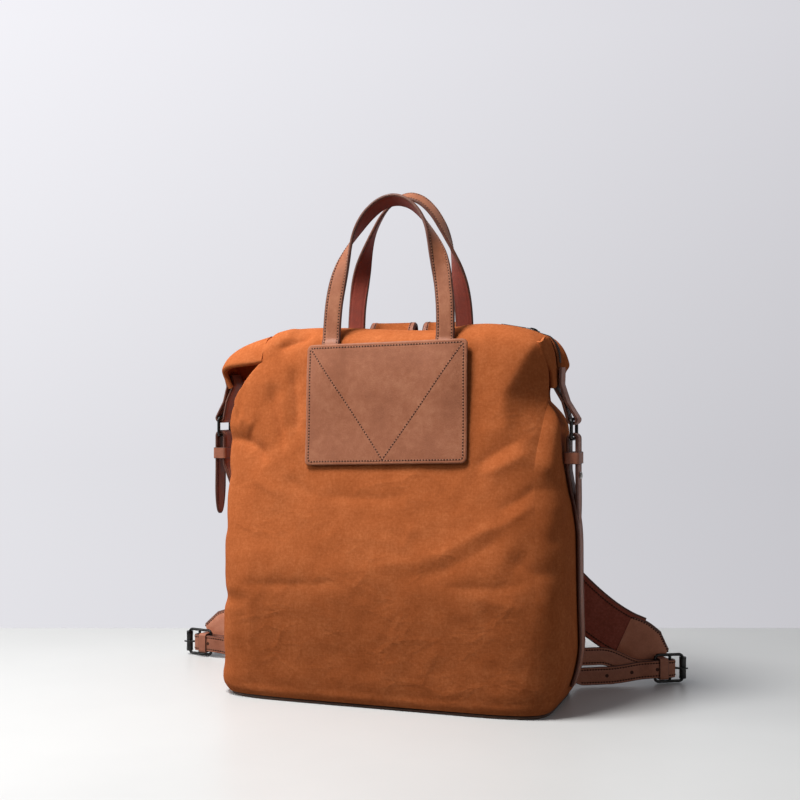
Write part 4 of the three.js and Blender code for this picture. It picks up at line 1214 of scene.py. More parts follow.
def base_ring(inset, level):
    """The base's outline, set in from the canvas hem."""
    _, left, right, front, back, square = section_at(0.0)
    turns = np.linspace(0, 2 * math.pi, BASE_SIDES, endpoint=False)
    cosines = np.cos(turns)
    sines = np.sin(turns)
    x = np.sign(cosines) * np.where(cosines < 0, left, right) * np.abs(cosines) ** (2 / square)
    y = np.sign(sines) * np.where(sines < 0, front, back) * np.abs(sines) ** (2 / square)
    ring = np.stack([x, y, np.full(x.shape, float(level))], axis=1)
    ring[:, :2] -= unit(ring[:, :2]) * (BASE_INSET + inset)
    return ring


base_points = np.vstack([base_ring(inset, level) for inset, level in BASE_EDGE])
base = make_piece("base_leather", base_points, ring_faces(len(BASE_EDGE), BASE_SIDES), [BASE_LEATHER])
dress(base, "dark_leather", "base_panel")

# Front patch: rounded corners, a border of stitches and a V of stitches from the top corners.
# Between two heights it follows the wall in a straight line, and it rises over the handle's sewn ends.
PATCH_FLAT = (224.0, 322.0)
PATCH_RISE = (0.2, 0.86)
PATCH_LEG_REACH = 16
PATCH_BETWEEN_LEGS = 0.72
PATCH_CORNER = 5
PATCH_BEVEL = 0.6
PATCH_STITCH_INSET = 3.4
BORDER_CORNER = 3
BORDER_GROOVE = 0.12
BORDER_HALF = 0.9
POINT_OF_V = (-1.5, -PATCH_HEIGHT / 2 + PATCH_STITCH_INSET + 1)
PATCH_ROWS = 90
PATCH_COLUMNS = 110


def patch_point(along, up, lift):
    """Point of the patch from its middle, in its own tilted plane, with a height above its outer face."""
    x = along * math.cos(PATCH_TILT) - up * math.sin(PATCH_TILT)
    height = PATCH_BASE + PATCH_HEIGHT / 2 + along * math.sin(PATCH_TILT) + up * math.cos(PATCH_TILT)
    rise = smoothstep(up / PATCH_HEIGHT + 0.5, *PATCH_RISE) * (HANDLE_THICK + 5 * SEAM)
    leg = np.exp(-((np.abs(x - HANDLE_MIDDLE) - HANDLE_SPACING / 2) / PATCH_LEG_REACH) ** 4)
    rise = rise * mix(PATCH_BETWEEN_LEGS, 1, leg)
    low, high = [wall_at("front", x, np.full(np.shape(x), level))[..., 1] for level in PATCH_FLAT]
    depth = mix(low, high, (height - PATCH_FLAT[0]) / (PATCH_FLAT[1] - PATCH_FLAT[0]))
    return np.stack(np.broadcast_arrays(x, depth - 3 * SEAM - LEATHER - rise - lift, height), axis=-1)


def patch_normal(along, up):
    """Direction square to the patch's outer face."""
    beside = patch_point(along + 1, up, 0.0) - patch_point(along - 1, up, 0.0)
    upright = patch_point(along, up + 1, 0.0) - patch_point(along, up - 1, 0.0)
    return unit(np.cross(beside, upright))


def rounded_outline(half_wide, half_high, radius, step=2.0):
    """Points round a rectangle with rounded corners."""
    outline = []
    for sign_x, sign_y, first in [(1, -1, -90), (1, 1, 0), (-1, 1, 90), (-1, -1, 180)]:
        for angle in np.radians(np.linspace(first, first + 90, 7)):
            outline.append((sign_x * (half_wide - radius) + radius * math.cos(angle),
                            sign_y * (half_high - radius) + radius * math.sin(angle), 0.0))
    outline.append(outline[0])
    outline = np.array(outline)
    return resample(outline, int(lengths_along(outline)[-1] / step))


def patch_grid(lift, shrink):
    """Grid of the patch with its corners pulled in to an arc."""
    u = np.linspace(-1, 1, PATCH_COLUMNS)[None, :] * (PATCH_WIDTH / 2 - shrink)
    v = np.linspace(-1, 1, PATCH_ROWS)[:, None] * (PATCH_HEIGHT / 2 - shrink)
    u, v = np.broadcast_arrays(u, v)
    over_u = np.maximum(np.abs(u) - (PATCH_WIDTH / 2 - PATCH_CORNER), 0)
    over_v = np.maximum(np.abs(v) - (PATCH_HEIGHT / 2 - PATCH_CORNER), 0)
    reach = np.maximum(np.hypot(over_u, over_v), 1e-6)
    pull = np.minimum(1, np.maximum(over_u, over_v) / reach)
    u = np.sign(u) * (np.abs(u) - over_u * (1 - pull))
    v = np.sign(v) * (np.abs(v) - over_v * (1 - pull))
    edge = np.minimum(PATCH_WIDTH / 2 - np.abs(u), PATCH_HEIGHT / 2 - np.abs(v))
    groove = -BORDER_GROOVE * np.exp(-((edge - PATCH_STITCH_INSET) / BORDER_HALF) ** 2)
    return patch_point(u, v, lift + groove).reshape(-1, 3)


def dress_patch():
    """The patch, with a bevelled edge of burnished leather."""
    count = PATCH_ROWS * PATCH_COLUMNS
    rim = rim_of(PATCH_ROWS, PATCH_COLUMNS)
    after = np.roll(rim, -1)
    bevel = 2 * count + np.arange(len(rim))
    bevel_after = np.roll(bevel, -1)
    layers = [patch_grid(0.0, PATCH_BEVEL), patch_grid(-LEATHER, 0.2), patch_grid(-PATCH_BEVEL, 0.0)[rim]]
    faces = [
        grid_faces(PATCH_ROWS, PATCH_COLUMNS),
        grid_faces(PATCH_ROWS, PATCH_COLUMNS, count)[:, ::-1],
        np.stack([rim, bevel, bevel_after, after], axis=1),
        np.stack([bevel, count + rim, count + after, bevel_after], axis=1),
    ]
    kinds = np.repeat([0, 1, 0, 1], [len(part) for part in faces])
    patch = make_piece("patch", np.vstack(layers), np.vstack(faces), [TAN, BURNISHED], kinds)
    dress(patch, "leather", "front_patch")


def dress_stitches(name, shapes, thread, slot="leather"):
    """Rows of stitches as one piece."""
    dress(join_shapes(name, shapes, [thread, PAINTED_HOLE_SHADE]), slot)


def patch_stitches():
    """Stitches round the patch's border and along its V."""
    half_wide = PATCH_WIDTH / 2 - PATCH_STITCH_INSET
    half_high = PATCH_HEIGHT / 2 - PATCH_STITCH_INSET
    lines = [(rounded_outline(half_wide, half_high, BORDER_CORNER), -BORDER_GROOVE / 2)]
    for sign in (-1, 1):
        ends = np.array([(sign * (half_wide - 1), half_high - 1, 0.0), (*POINT_OF_V, 0.0)])
        lines.append((resample(ends, 60), 0.0))
    shapes = []
    for line, lift in lines:
        along, up = line[:, :2].T
        shapes += stitch_shapes(patch_point(along, up, lift), patch_normal(along, up))
    return shapes


dress_patch()
dress_stitches("patch_stitches", patch_stitches(), THREAD)

# Handles: flat on the wall at both ends, turning a quarter on the way up to the arch
HANDLES = {
    "front": {
        "low": 322, "leave": 344, "base_y": -35, "top_y": -16, "top": 470, "turn": (0.3, 0.93), "tilt": 27,
    },
    "back": {
        "low": 314, "leave": 338, "base_y": 30.5, "top_y": 24, "top": 479, "turn": (0.2, 0.82), "tilt": -28,
    },
}
ARCH_LEAN = 1.3
ARCH_POINTS = 15
SEWN_POINTS = 4
SEWN_SHORT = 9
HANDLE_STATIONS = 220
STITCH_INSET = 2.6
# The handles' inner face takes the brick leather with painted shade
LEATHER_STRIP = [TAN, BURNISHED, SHADED_BRICK, TAN]


def dress_handle(face, low, leave, base_y, top_y, top, turn, tilt):
    """A handle, from its left end up over the arch and down to its right end."""
    half = HANDLE_SPACING / 2
    sewn = np.linspace(low, leave - SEWN_SHORT, SEWN_POINTS)
    left, right = [
        off_wall(face, np.full(SEWN_POINTS, HANDLE_MIDDLE + end * half), sewn, 2 * SEAM + HANDLE_THICK / 2)
        for end in (-1, 1)
    ]
    angle = np.linspace(0, math.pi, ARCH_POINTS)
    arch = np.stack([
        HANDLE_MIDDLE - half * np.cos(angle),
        mix(base_y, top_y, np.sin(angle) ** ARCH_LEAN),
        leave + (top - leave) * np.sin(angle),
    ], axis=1)
    route = curve_through(np.vstack([left, arch, right[::-1]]), HANDLE_STATIONS)
    quarter = math.pi / 2 * smoothstep((route[:, 2] - leave) / (top - leave), *turn)
    turned = np.where(np.arange(HANDLE_STATIONS) < HANDLE_STATIONS / 2, quarter, math.pi - quarter)
    tilt = math.radians(tilt)
    level = FACES[face] * np.cos(turned)
    across = np.stack([level, np.sin(turned) * math.cos(tilt), -np.sin(turned) * math.sin(tilt)], axis=1)
    strip = (route, across, HANDLE_WIDTH, HANDLE_THICK)
    made = strip_piece(f"handle_leather_{face}", *strip, LEATHER_STRIP, STITCH_INSET)
    dress(made, "leather", f"handle_{face}")
    dress_stitches(f"handle_stitches_{face}", strip_stitches(*strip, STITCH_INSET), THREAD)


for face, handle in HANDLES.items():
    dress_handle(face, **handle)

# Shoulder straps: sewn to the back, over a hump and down behind to the floor
STRAPS = {
    "left": [
        (-28, 44.5, 330), (-28, 49, 350), (-28, 56, 356), (-29, 63, 350), (-32, 66, 325), (-46, 71, 275),
        (-70, 79, 215), (-104, 88, 150), (-142, 95, 96), (-180, 99, 58), (-208, 101, 39), (-230, 101, 31),
    ],
    "right": [
        (28, 44.5, 330), (28, 49, 350), (28, 56, 356), (29, 63, 350), (31, 66, 325), (42, 71, 275),
        (62, 79, 215), (92, 90, 152), (123, 97, 110), (149, 101, 82), (174, 108, 60), (193, 112, 48),
        (206, 116, 42),
    ],
}
STRAP_SEWN = (276, 304)
STRAP_TURN = (0.3, 0.5)
STRAP_STATIONS = 240
STRAP_BORDER = 6.5
STRAP_STITCH_INSET = 5.3
STRAP_MATERIALS = [CANVAS, BURNISHED, MAROON, RUSSET]


def dress_strap(side):
    """A shoulder strap; gives its end point, its direction across and its direction along."""
    hanging = np.array(STRAPS[side], float)
    heights = np.linspace(*STRAP_SEWN, SEWN_POINTS)
    sewn = off_wall("back", np.full(SEWN_POINTS, hanging[0, 0]), heights, 2 * SEAM + STRAP_THICK / 2)
    route = curve_through(np.vstack([sewn, hanging]), STRAP_STATIONS)
    along = unit(np.gradient(route, axis=0))
    level = unit(AXIS_X - along * (along @ AXIS_X)[:, None])
    upright = unit(np.cross(along, AXIS_Y))
    share = smoothstep(np.linspace(0, 1, STRAP_STATIONS), *STRAP_TURN)[:, None]
    across = -unit(mix(level, upright, share))
    made = strip_piece(f"strap_{side}", route, across, STRAP_WIDTH, STRAP_THICK, STRAP_MATERIALS,
                       border=STRAP_BORDER)
    dress(made, "strap", f"shoulder_strap_{side}")
    thickness = STRAP_THICK + 2 * BORDER_RISE
    rows = strip_stitches(route, across, STRAP_WIDTH, thickness, STRAP_STITCH_INSET, BOTH_FACES)
    dress_stitches(f"strap_stitches_{side}", rows, BROWN_THREAD, "strap")
    return route[-1], -across[-1], along[-1]


strap_ends = {side: dress_strap(side) for side in SIDES}

# Sewn strips, loops, punched holes and turned metal
LOWER_STRIP = [RUSSET, BURNISHED, RUSSET, RUSSET]
LOOP_STEP = 0.5
PUNCH_PROFILE = [(1.85, -0.05), (1.6, 0.16), (1.2, 0.12), (0.05, 0.12)]
PUNCH_SIDES = 16
FOLD_RADIUS = 4.2
FOLD_POINTS = 13
KEEPER_WALL = 1.1
KEEPER_SWELL = 1.1
KEEPER_CORNER = 1.4
KEEPER_STEP = 0.8


def rounded_loop(half_wide, half_high, radius):
    """Closed line round a rectangle with rounded corners, without its last point."""
    return rounded_outline(half_wide, half_high, radius, LOOP_STEP)[:-1]


def loop_on(origin, first, second, loop):
    """A flat loop's points in space, along two directions."""
    return origin + loop[:, :1] * first + loop[:, 1:2] * second


def tip_widths(points, width, reach, end):
    """Widths of a strip whose last reach millimetres round off to a point that is end wide."""
    left = lengths_along(points)[-1] - lengths_along(points)
    share = np.clip(left / reach, 0, 1)
    return mix(end, width, np.sqrt(1 - (1 - share) ** 2))


def dress_holes(name, places, outwards):
    """Punched holes with a pressed rim, each a disc whose dark colour is painted shade of the hole."""
    shapes = [lathe_shape(PUNCH_PROFILE, place, outwards, PUNCH_SIDES) for place in places]
    dress(join_shapes(name, shapes, [PAINTED_HOLE_SHADE]), "leather")


def dress_keeper(name, node, origin, first, second, half, length, along):
    """A leather keeper bent round both layers of a strap, with rounded edges."""
    reach = FOLD_RADIUS + LEATHER / 2 + SEAM + KEEPER_WALL / 2
    loop = rounded_outline(reach, half + SEAM + KEEPER_WALL / 2, KEEPER_CORNER, KEEPER_STEP)
    line = loop_on(origin, first, second, loop)
    dress(strip_piece(name, line, along, length, KEEPER_WALL * KEEPER_SWELL, LOWER_STRIP), "leather", node)


# Buckles stand on edge on the floor; their straps fold round the middle bar
BUCKLE_AT = {"left": (-266, 90), "right": (238, 121)}
BUCKLE_HALF = 14.6
BUCKLE_WIRE = 3
BUCKLE_HEEL = -17
BUCKLE_TOE = 15
BUCKLE_CORNER = 4
BAR_POINTS = 12
STRAP_CORNER = 22
LOWER_LEVEL = BUCKLE_HALF + SEAM


class Buckle:
    """Where a buckle lies: its bar, its strap's length, and the directions along the strap and behind it."""

    def __init__(self, side, sign):
        corner = panel_point("back", float(sign), fraction_at(STRAP_CORNER))
        corner[2] = LOWER_LEVEL
        self.bar = np.array([*BUCKLE_AT[side], LOWER_LEVEL])
        self.along = unit(self.bar - corner)
        self.behind = np.array([-self.along[1], self.along[0], 0]) * sign
        self.length = np.linalg.norm(self.bar - corner)

    def at(self, distance, back):
        """Points at distances beyond the bar and behind it."""
        return self.bar + np.multiply.outer(distance, self.along) + np.multiply.outer(back, self.behind)


# Lower straps: one layer out from the corner, round the bar, and the tail back in front
LAYER_HALF = 1.7
LAYERS_PART = (-34, -19)
STRAP_START = 1.5
STRAP_RISE = 14
CLIMB = (28, 72)
TAIL_SHORT = 4
TAIL_SINK = 4.6
SINK = (15, 66)
BAR_TURN = 75
LAYER_POINTS = 40
LOWER_STATIONS = 150
LOWER_TIP = (12, 3)
LOWER_STITCHED = 0.96
HOLE_FIRST = -15
HOLE_LAST = 20
HOLE_SPACING = 25.5


def layer_spread(distance):
    """Half the gap between a lower strap's layers, which part towards the bar."""
    return mix(LAYER_HALF, FOLD_RADIUS, smoothstep(distance, *LAYERS_PART))


def tail_sink(distance):
    """How far a lower strap's tail hangs down."""
    return TAIL_SINK * smoothstep(-distance, *SINK)[:, None] * AXIS_Z


def dress_lower_strap(buckle, side, sign):
    """A lower strap with its stitches and holes."""
    out = np.linspace(STRAP_START - buckle.length, 0, LAYER_POINTS)
    tail = np.linspace(0, TAIL_SHORT - buckle.length, LAYER_POINTS)
    turn = np.radians(np.linspace(BAR_TURN, -BAR_TURN, FOLD_POINTS))
    climb = STRAP_RISE * smoothstep(-out, *CLIMB)[:, None] * AXIS_Z
    route = resample(np.vstack([
        buckle.at(out, layer_spread(out)) + climb,
        buckle.at(FOLD_RADIUS * np.cos(turn), FOLD_RADIUS * np.sin(turn)),
        buckle.at(tail, -layer_spread(tail)) - tail_sink(tail),
    ]), LOWER_STATIONS)
    strip = (route, AXIS_Z * sign, tip_widths(route, LOWER_WIDTH, *LOWER_TIP), LEATHER)
    made = strip_piece(f"lower_leather_{side}", *strip, LOWER_STRIP, STITCH_INSET)
    dress(made, "leather", f"lower_strap_{side}")
    rows = strip_stitches(*strip, STITCH_INSET, BOTH_FACES, LOWER_STITCHED)
    dress_stitches(f"lower_stitches_{side}", rows, BROWN_THREAD)
    places = np.arange(HOLE_FIRST, TAIL_SHORT - buckle.length + HOLE_LAST, -HOLE_SPACING)
    holes = buckle.at(places, -layer_spread(places) - LEATHER / 2) - tail_sink(places)
    dress_holes(f"lower_holes_{side}", holes, -buckle.behind)


# Buckle metal: frame of round wire with its middle bar, the roller on its toe and the prong.
# The roller is (radius, height) and the prong (distance beyond the bar, distance behind it).
ROLLER_RADIUS = 3.5
ROLLER_HALF = BUCKLE_HALF - BUCKLE_WIRE - 0.9
ROLLER_PROFILE = [
    (2.4, -ROLLER_HALF), (3.3, -ROLLER_HALF), (ROLLER_RADIUS, 0.4 - ROLLER_HALF), (3.35, -2),
    (3.35, 2), (ROLLER_RADIUS, ROLLER_HALF - 0.4), (3.3, ROLLER_HALF), (2.4, ROLLER_HALF),
]
PRONG_ROOT = FOLD_RADIUS + LEATHER / 2 + 2 * SEAM
PRONG_REST = -(ROLLER_RADIUS + 1 + SEAM)
PRONG = np.array([
    (PRONG_ROOT - 2, -0.2), (PRONG_ROOT + 2, -2.5),
    (BUCKLE_TOE - 4, PRONG_REST), (BUCKLE_TOE + 1.8, PRONG_REST),
])
PRONG_STATIONS = 24
PRONG_RADII = np.linspace(1.15, 0.8, PRONG_STATIONS)


def dress_buckle(buckle, side):
    """A buckle's metal pieces."""
    wire = BUCKLE_WIRE / 2
    loop = rounded_loop((BUCKLE_TOE - BUCKLE_HEEL) / 2 - wire, BUCKLE_HALF - wire, BUCKLE_CORNER)
    line = loop_on(buckle.at((BUCKLE_TOE + BUCKLE_HEEL) / 2, 0.0), buckle.along, AXIS_Z, loop)
    dress(tube_piece(f"buckle_{side}", line, wire, [GUNMETAL], closed=True), "metal", f"buckle_frame_{side}")
    heights = np.linspace(wire - BUCKLE_HALF, BUCKLE_HALF - wire, BAR_POINTS)
    dress(tube_piece(f"buckle_bar_{side}", buckle.bar + heights[:, None] * AXIS_Z, wire, [GUNMETAL]), "metal")
    roller = lathe_shape(ROLLER_PROFILE, buckle.at(BUCKLE_TOE - wire, 0.0), AXIS_Z)
    dress(join_shapes(f"roller_{side}", [roller], [GUNMETAL]), "metal", f"buckle_roller_{side}")
    line = curve_through(buckle.at(*PRONG.T), PRONG_STATIONS)
    prong = tube_piece(f"prong_{side}", line, PRONG_RADII, [GUNMETAL], sides=12)
    dress(prong, "metal", f"buckle_prong_{side}")


# Tabs over the shoulder straps' ends, which narrow to their ends behind the buckles
TAB_END = -6
TAB_BACK = 8.8
TAB_RISE = 7
TAB_LAP = 14
TAB_TURN = (0.3, 1)
TAB_WIDTHS = ([0, 0.06, 0.6, 1], [40, 43, 43, 26])
TAB_THICK = STRAP_THICK + 1.2
TAB_STATIONS = 60
TAB_MATERIALS = [PALE_TAN, BURNISHED, PALE_TAN, PALE_TAN]


def dress_strap_tab(buckle, side):
    """A leather tab from a shoulder strap's end to the buckle."""
    end, across, along = strap_ends[side]
    finish = buckle.at(TAB_END, TAB_BACK) + AXIS_Z * TAB_RISE
    route = curve_through([end - along * TAB_LAP, end, mix(end, finish, 0.5), finish], TAB_STATIONS)
    share = np.linspace(0, 1, TAB_STATIONS)
    upward = AXIS_Z * np.sign(across[2])
    across = -unit(mix(across, upward, smoothstep(share, *TAB_TURN)[:, None]))
    strip = (route, across, np.interp(share, *TAB_WIDTHS), TAB_THICK)
    made = strip_piece(f"tab_{side}", *strip, TAB_MATERIALS, STITCH_INSET)
    dress(made, "leather", f"strap_tab_{side}")
    dress_stitches(f"tab_stitches_{side}", strip_stitches(*strip, STITCH_INSET, BOTH_FACES), THREAD)


# The keepers lie round both layers, inside the buckles' heel windows
KEEPER_FROM = -13
KEEPER_TO = -3.5
for side, sign in SIDES.items():
    buckle = Buckle(side, sign)
    dress_lower_strap(buckle, side, sign)
    dress_buckle(buckle, side)
    dress_keeper(f"keeper_{side}", f"strap_keeper_{side}", buckle.at((KEEPER_FROM + KEEPER_TO) / 2, 0.0),
                 buckle.behind, AXIS_Z, LOWER_WIDTH / 2, KEEPER_TO - KEEPER_FROM, buckle.along)
    dress_strap_tab(buckle, side)

# Side fastening: a tab from each wing's tip, a ring, and the strip from the gusset that folds over the ring
RING_REACH = {"left": 190, "right": 166}
RING_LEVEL = 253.5
RING_HALF_WIDTH = 14
RING_WIRE = 3.2
RING_CORNER = 3.2
BAR_DROP = 10.6 - RING_WIRE / 2
STRIP_LOW = 19
STRIP_LEAVES = {"left": 178, "right": 196}
STRIP_POINTS = 24
BAR_CLEAR = 6
TAIL_END = 166
TAIL_LEAN = 0.6
SIDE_STATIONS = 190
SIDE_TIP = (30, 3)
SIDE_STITCHED = 0.97
SIDE_KEEPER_LEVEL = 227
SIDE_KEEPER_LENGTH = 11
STUD_LEVEL = 211
SIDE_HOLES = np.array([STUD_LEVEL + 11, STUD_LEVEL - 11, STUD_LEVEL - 22])
STUD_PROFILE = [
    (0.05, 0.0), (3.4, 0.0), (3.5, 0.35), (2.2, 0.6), (2.0, 1.0),
    (3.1, 1.2), (3.3, 1.6), (2.7, 2.15), (1.4, 2.45), (0.05, 2.5),
]


def on_side(sign, reach, height):
    """Points above the bag's middle line, at a reach to one side and a height."""
    x = sign * np.asarray(reach, float)
    return np.stack(np.broadcast_arrays(x, 0.0, np.asarray(height, float)), axis=-1)


def bar_fold(sign, reach, level, first, last):
    """A fold round a bar, between two angles."""
    bend = np.radians(np.linspace(first, last, FOLD_POINTS))
    return on_side(sign, reach + FOLD_RADIUS * np.cos(bend), level + FOLD_RADIUS * np.sin(bend))


def dress_ring(side, sign):
    """A square ring with rounded corners."""
    loop = rounded_loop(RING_HALF_WIDTH - RING_WIRE / 2, BAR_DROP, RING_CORNER)
    line = loop_on(on_side(sign, RING_REACH[side], RING_LEVEL), AXIS_Y, AXIS_Z, loop)
    made = tube_piece(f"square_ring_{side}", line, RING_WIRE / 2, [GUNMETAL], closed=True)
    dress(made, "metal", f"ring_{side}")


def dress_side_strap(side, sign):
    """A strip up the gusset, over the ring's lower bar and down again, with its stitches and holes."""
    reach = RING_REACH[side]
    outer = reach + FOLD_RADIUS
    bar = RING_LEVEL - BAR_DROP
    heights = np.linspace(STRIP_LOW, STRIP_LEAVES[side], STRIP_POINTS)
    wall = np.abs(gusset_point(side, 0.0, fraction_at(heights))[:, 0])
    wall = wall + np.abs(gusset_bulge(side, 0.0, heights))
    route = resample(np.vstack([
        on_side(sign, wall + 3 * SEAM + LEATHER / 2, heights),
        on_side(sign, reach - FOLD_RADIUS, [SIDE_KEEPER_LEVEL - SIDE_KEEPER_LENGTH, bar - BAR_CLEAR]),
        bar_fold(sign, reach, bar, 180, 0),
        on_side(sign, [outer, outer, outer + TAIL_LEAN], [bar - BAR_CLEAR, STUD_LEVEL, TAIL_END]),
    ]), SIDE_STATIONS)
    strip = (route, -AXIS_Y * sign, tip_widths(route, SIDE_WIDTH, *SIDE_TIP), LEATHER)
    made = strip_piece(f"side_leather_{side}", *strip, LOWER_STRIP, STITCH_INSET)
    dress(made, "leather", f"side_strap_{side}")
    rows = strip_stitches(*strip, STITCH_INSET, BOTH_FACES, SIDE_STITCHED)
    dress_stitches(f"side_stitches_{side}", rows, BROWN_THREAD)
    dress_holes(f"side_holes_{side}", on_side(sign, outer + LEATHER / 2, SIDE_HOLES), AXIS_X * sign)


def dress_stud(side, sign):
    """A metal stud on the side strap's tail."""
    place = on_side(sign, RING_REACH[side] + FOLD_RADIUS + LEATHER / 2, STUD_LEVEL)
    stud = lathe_shape(STUD_PROFILE, place, AXIS_X * sign)
    dress(join_shapes(f"stud_{side}", [stud], [NICKEL]), "bright_metal", f"side_stud_{side}")


# Wing tabs: both layers hold the wing's tip and are sewn together at the pinch, and the fold holds the ring
WING_TAB_WIDTH = 21
WING_TAB_GRIP = (0.8, 0.86, 1.0)
WING_TAB_STATIONS = 90
WING_TAB_CLEAR = 3.5 * SEAM + LEATHER / 2
PINCH_SHARE = 0.5
PINCH_GAP = 0.3
FRAME_STEP = 1e-3


def wing_frame(side, along):
    """Crown point of a wing, its outward normal and its direction across."""
    ahead = wing_point(side, 0.0, min(along + FRAME_STEP, 1))
    forward = ahead - wing_point(side, 0.0, max(along - FRAME_STEP, 0))
    across = unit(wing_point(side, FRAME_STEP, along) - wing_point(side, -FRAME_STEP, along))
    normal = unit(np.cross(forward, across))
    normal = normal * np.sign(normal @ (AXIS_X * SIDES[side] + AXIS_Z))
    return wing_point(side, 0.0, along), normal, across


def dress_wing_tab(side, sign):
    """A tab over a wing's tip, folded round the ring."""
    reach = RING_REACH[side]
    bar = RING_LEVEL + BAR_DROP
    grip = [wing_frame(side, along) for along in WING_TAB_GRIP]
    over = np.array([point + normal * WING_TAB_CLEAR for point, normal, _ in grip])
    under = np.array([point - normal * (CLOTH + WING_TAB_CLEAR) for point, normal, _ in grip[1:]])
    pinch = mix((over[-1] + under[-1]) / 2, on_side(sign, reach, bar), PINCH_SHARE)
    apart = AXIS_X * sign * (LEATHER / 2 + PINCH_GAP)
    fold = bar_fold(sign, reach, bar, 0, -180)
    route = resample(np.vstack([over, pinch + apart, fold, pinch - apart, under[::-1]]), WING_TAB_STATIONS)
    strip = (route, -AXIS_Y * sign, WING_TAB_WIDTH, LEATHER)
    made = strip_piece(f"wing_leather_{side}", *strip, LOWER_STRIP, STITCH_INSET)
    dress(made, "leather", f"wing_tab_{side}")
    dress_stitches(f"wing_stitches_{side}", strip_stitches(*strip, STITCH_INSET), BROWN_THREAD)


for side, sign in SIDES.items():
    dress_ring(side, sign)
    dress_side_strap(side, sign)
    keeper_at = on_side(sign, RING_REACH[side], SIDE_KEEPER_LEVEL)
    dress_keeper(f"side_loop_{side}", f"side_keeper_{side}", keeper_at,
                 AXIS_X, AXIS_Y, SIDE_WIDTH / 2, SIDE_KEEPER_LENGTH, AXIS_Z)
    dress_stud(side, sign)
    dress_wing_tab(side, sign)

# Zip over the mouth and out along both wings
ZIP_WING = (0.02, 0.8)
ZIP_WING_POINTS = 16
ZIP_ROOF = (-122, 132)
ZIP_ROOF_POINTS = 45


def on_zip(x, lift):
    """Point at a height above the zip's underside, at a distance from the middle."""
    return np.array([x, 0, ROOF_LEVEL + roof_shift(x, ROOF_LEVEL) - ZIP_SINK + lift])


def wing_zip(side, places):
    """The zip's points along a wing, with their normals and directions across."""
    lift = ZIP_LIFT + ZIP_THICK / 2 - ZIP_GROOVE
    frames = [wing_frame(side, along) for along in places]
    return [(point + normal * lift, normal, across) for point, normal, across in frames]


zip_frames = wing_zip("left", np.linspace(*ZIP_WING[::-1], ZIP_WING_POINTS))
zip_frames += [(on_zip(x, ZIP_THICK / 2), AXIS_Z, AXIS_Y) for x in np.linspace(*ZIP_ROOF, ZIP_ROOF_POINTS)]
zip_frames += wing_zip("right", np.linspace(*ZIP_WING, ZIP_WING_POINTS))
zip_line, zip_normals, zip_across = np.array(zip_frames).transpose(1, 0, 2)
tape = strip_piece("zip_cloth", zip_line, -zip_across, ZIP_WIDTH, ZIP_THICK, [ZIP_TAPE] * 4)
dress(tape, "zip", "zip_tape")

# Zip teeth: small boxes that narrow upwards, in two rows that take turns
TOOTH_PITCH = 2.0
TOOTH_LEAN = 0.8
TOOTH_MARGIN = 4
TOOTH_HALF = (0.52, 1.5)
TOOTH_LEVELS = [(-0.27, 1.0), (0.63, 0.78)]
TOOTH_FACES = [[0, 1, 3, 2], [4, 6, 7, 5], [0, 4, 5, 1], [2, 3, 7, 6], [0, 2, 6, 4], [1, 5, 7, 3]]
tooth = np.array([
    (x * TOOTH_HALF[0] * narrow, y * TOOTH_HALF[1] * narrow, z)
    for z, narrow in TOOTH_LEVELS for y in (-1, 1) for x in (-1, 1)
])
zip_along = lengths_along(zip_line)
places = np.arange(TOOTH_MARGIN, zip_along[-1] - TOOTH_MARGIN, TOOTH_PITCH / 2)
centres, ups, besides = [read_at(places, zip_along, table) for table in (zip_line, zip_normals, zip_across)]
teeth = []
for index, (centre, up, beside) in enumerate(zip(centres, unit(ups), unit(besides))):
    lean = TOOTH_LEAN if index % 2 else -TOOTH_LEAN
    basis = np.array([np.cross(beside, up), beside, up])
    teeth.append((centre + up * ZIP_THICK / 2 + beside * lean + tooth @ basis, TOOTH_FACES, 0))
dress(join_shapes("zip_teeth", teeth, [GUNMETAL]), "zip")

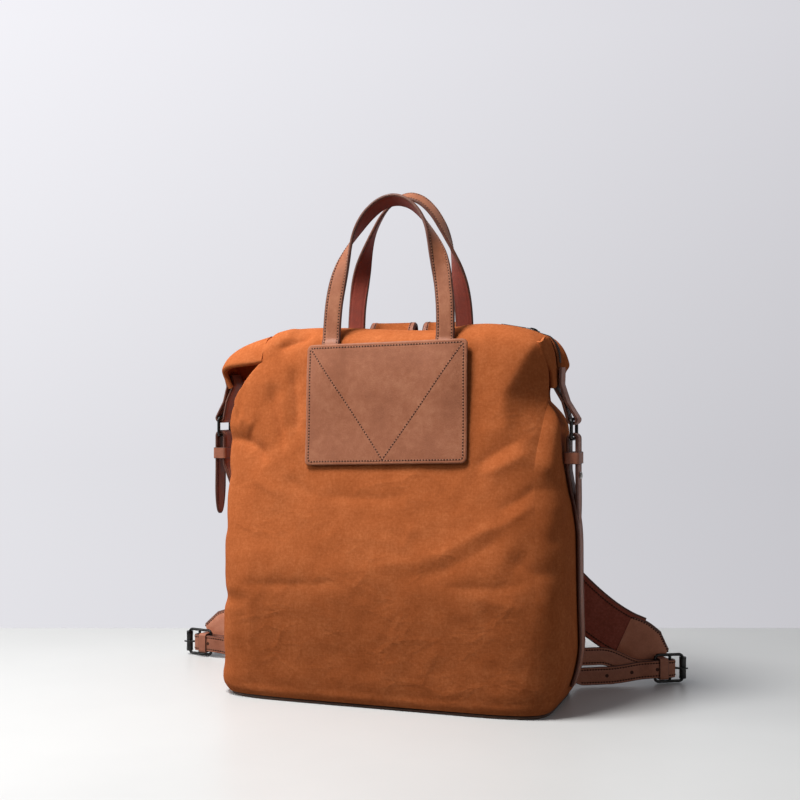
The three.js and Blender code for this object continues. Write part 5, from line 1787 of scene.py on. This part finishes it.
# Slider with a bridge
SLIDER_X = 128
SLIDER_LONG = 11
SLIDER_LIFT = 0.84
PLATE_THICK = 1.68
SLIDER_POINTS = 14
SLIDER_WIDTHS = np.interp(np.linspace(0, 1, SLIDER_POINTS), [0, 0.25, 0.6, 1], [4.4, 6.4, 8, 7.36])
BRIDGE_POINTS = [2, 4, 7, 10, 12]
BRIDGE_RISE = np.array([0, 1.2, 1.5, 1.2, 0])
BRIDGE_RADIUS = 0.7
slider_ends = [on_zip(SLIDER_X + end * SLIDER_LONG / 2, ZIP_THICK) for end in (-1, 1)]
slider_line = resample(np.array(slider_ends), SLIDER_POINTS) + AXIS_Z * SLIDER_LIFT
slider = strip_piece("slider", slider_line, -AXIS_Y, SLIDER_WIDTHS, PLATE_THICK, [GUNMETAL] * 4)
dress(slider, "metal", "zip_slider")
bridge_line = curve_through(slider_line[BRIDGE_POINTS] + BRIDGE_RISE[:, None] * AXIS_Z, 20)
dress(tube_piece("slider_bridge", bridge_line, BRIDGE_RADIUS, [GUNMETAL], sides=10), "metal")

# Pull with an eye, lying along the zip
PULL_LONG = 24
PULL_HALF = 3.4
PULL_THICK = 1.4
PULL_WIRE = 0.8
PULL_CORNER = 2
PULL_END = SLIDER_X - SLIDER_LONG / 2 - 2 * SEAM
LEAF_SHARE = 0.66
LEAF_WIDTH = 2 * PULL_HALF - 2
LEAF_THICK = 0.98
pull_start, pull_finish = [on_zip(x, ZIP_THICK + PULL_THICK / 2) for x in (PULL_END - PULL_LONG, PULL_END)]
pull_loop = rounded_loop(PULL_LONG / 2 - PULL_WIRE, PULL_HALF - PULL_WIRE, PULL_CORNER)
pull_line = loop_on((pull_start + pull_finish) / 2, unit(pull_finish - pull_start), AXIS_Y, pull_loop)
dress(tube_piece("pull_rim", pull_line, PULL_WIRE, [GUNMETAL], closed=True, sides=10), "metal", "zip_pull")
pull_leaf = resample(np.array([pull_start, mix(pull_start, pull_finish, LEAF_SHARE)]), 12)
dress(strip_piece("pull_leaf", pull_leaf, -AXIS_Y, LEAF_WIDTH, LEAF_THICK, [GUNMETAL] * 4), "metal")
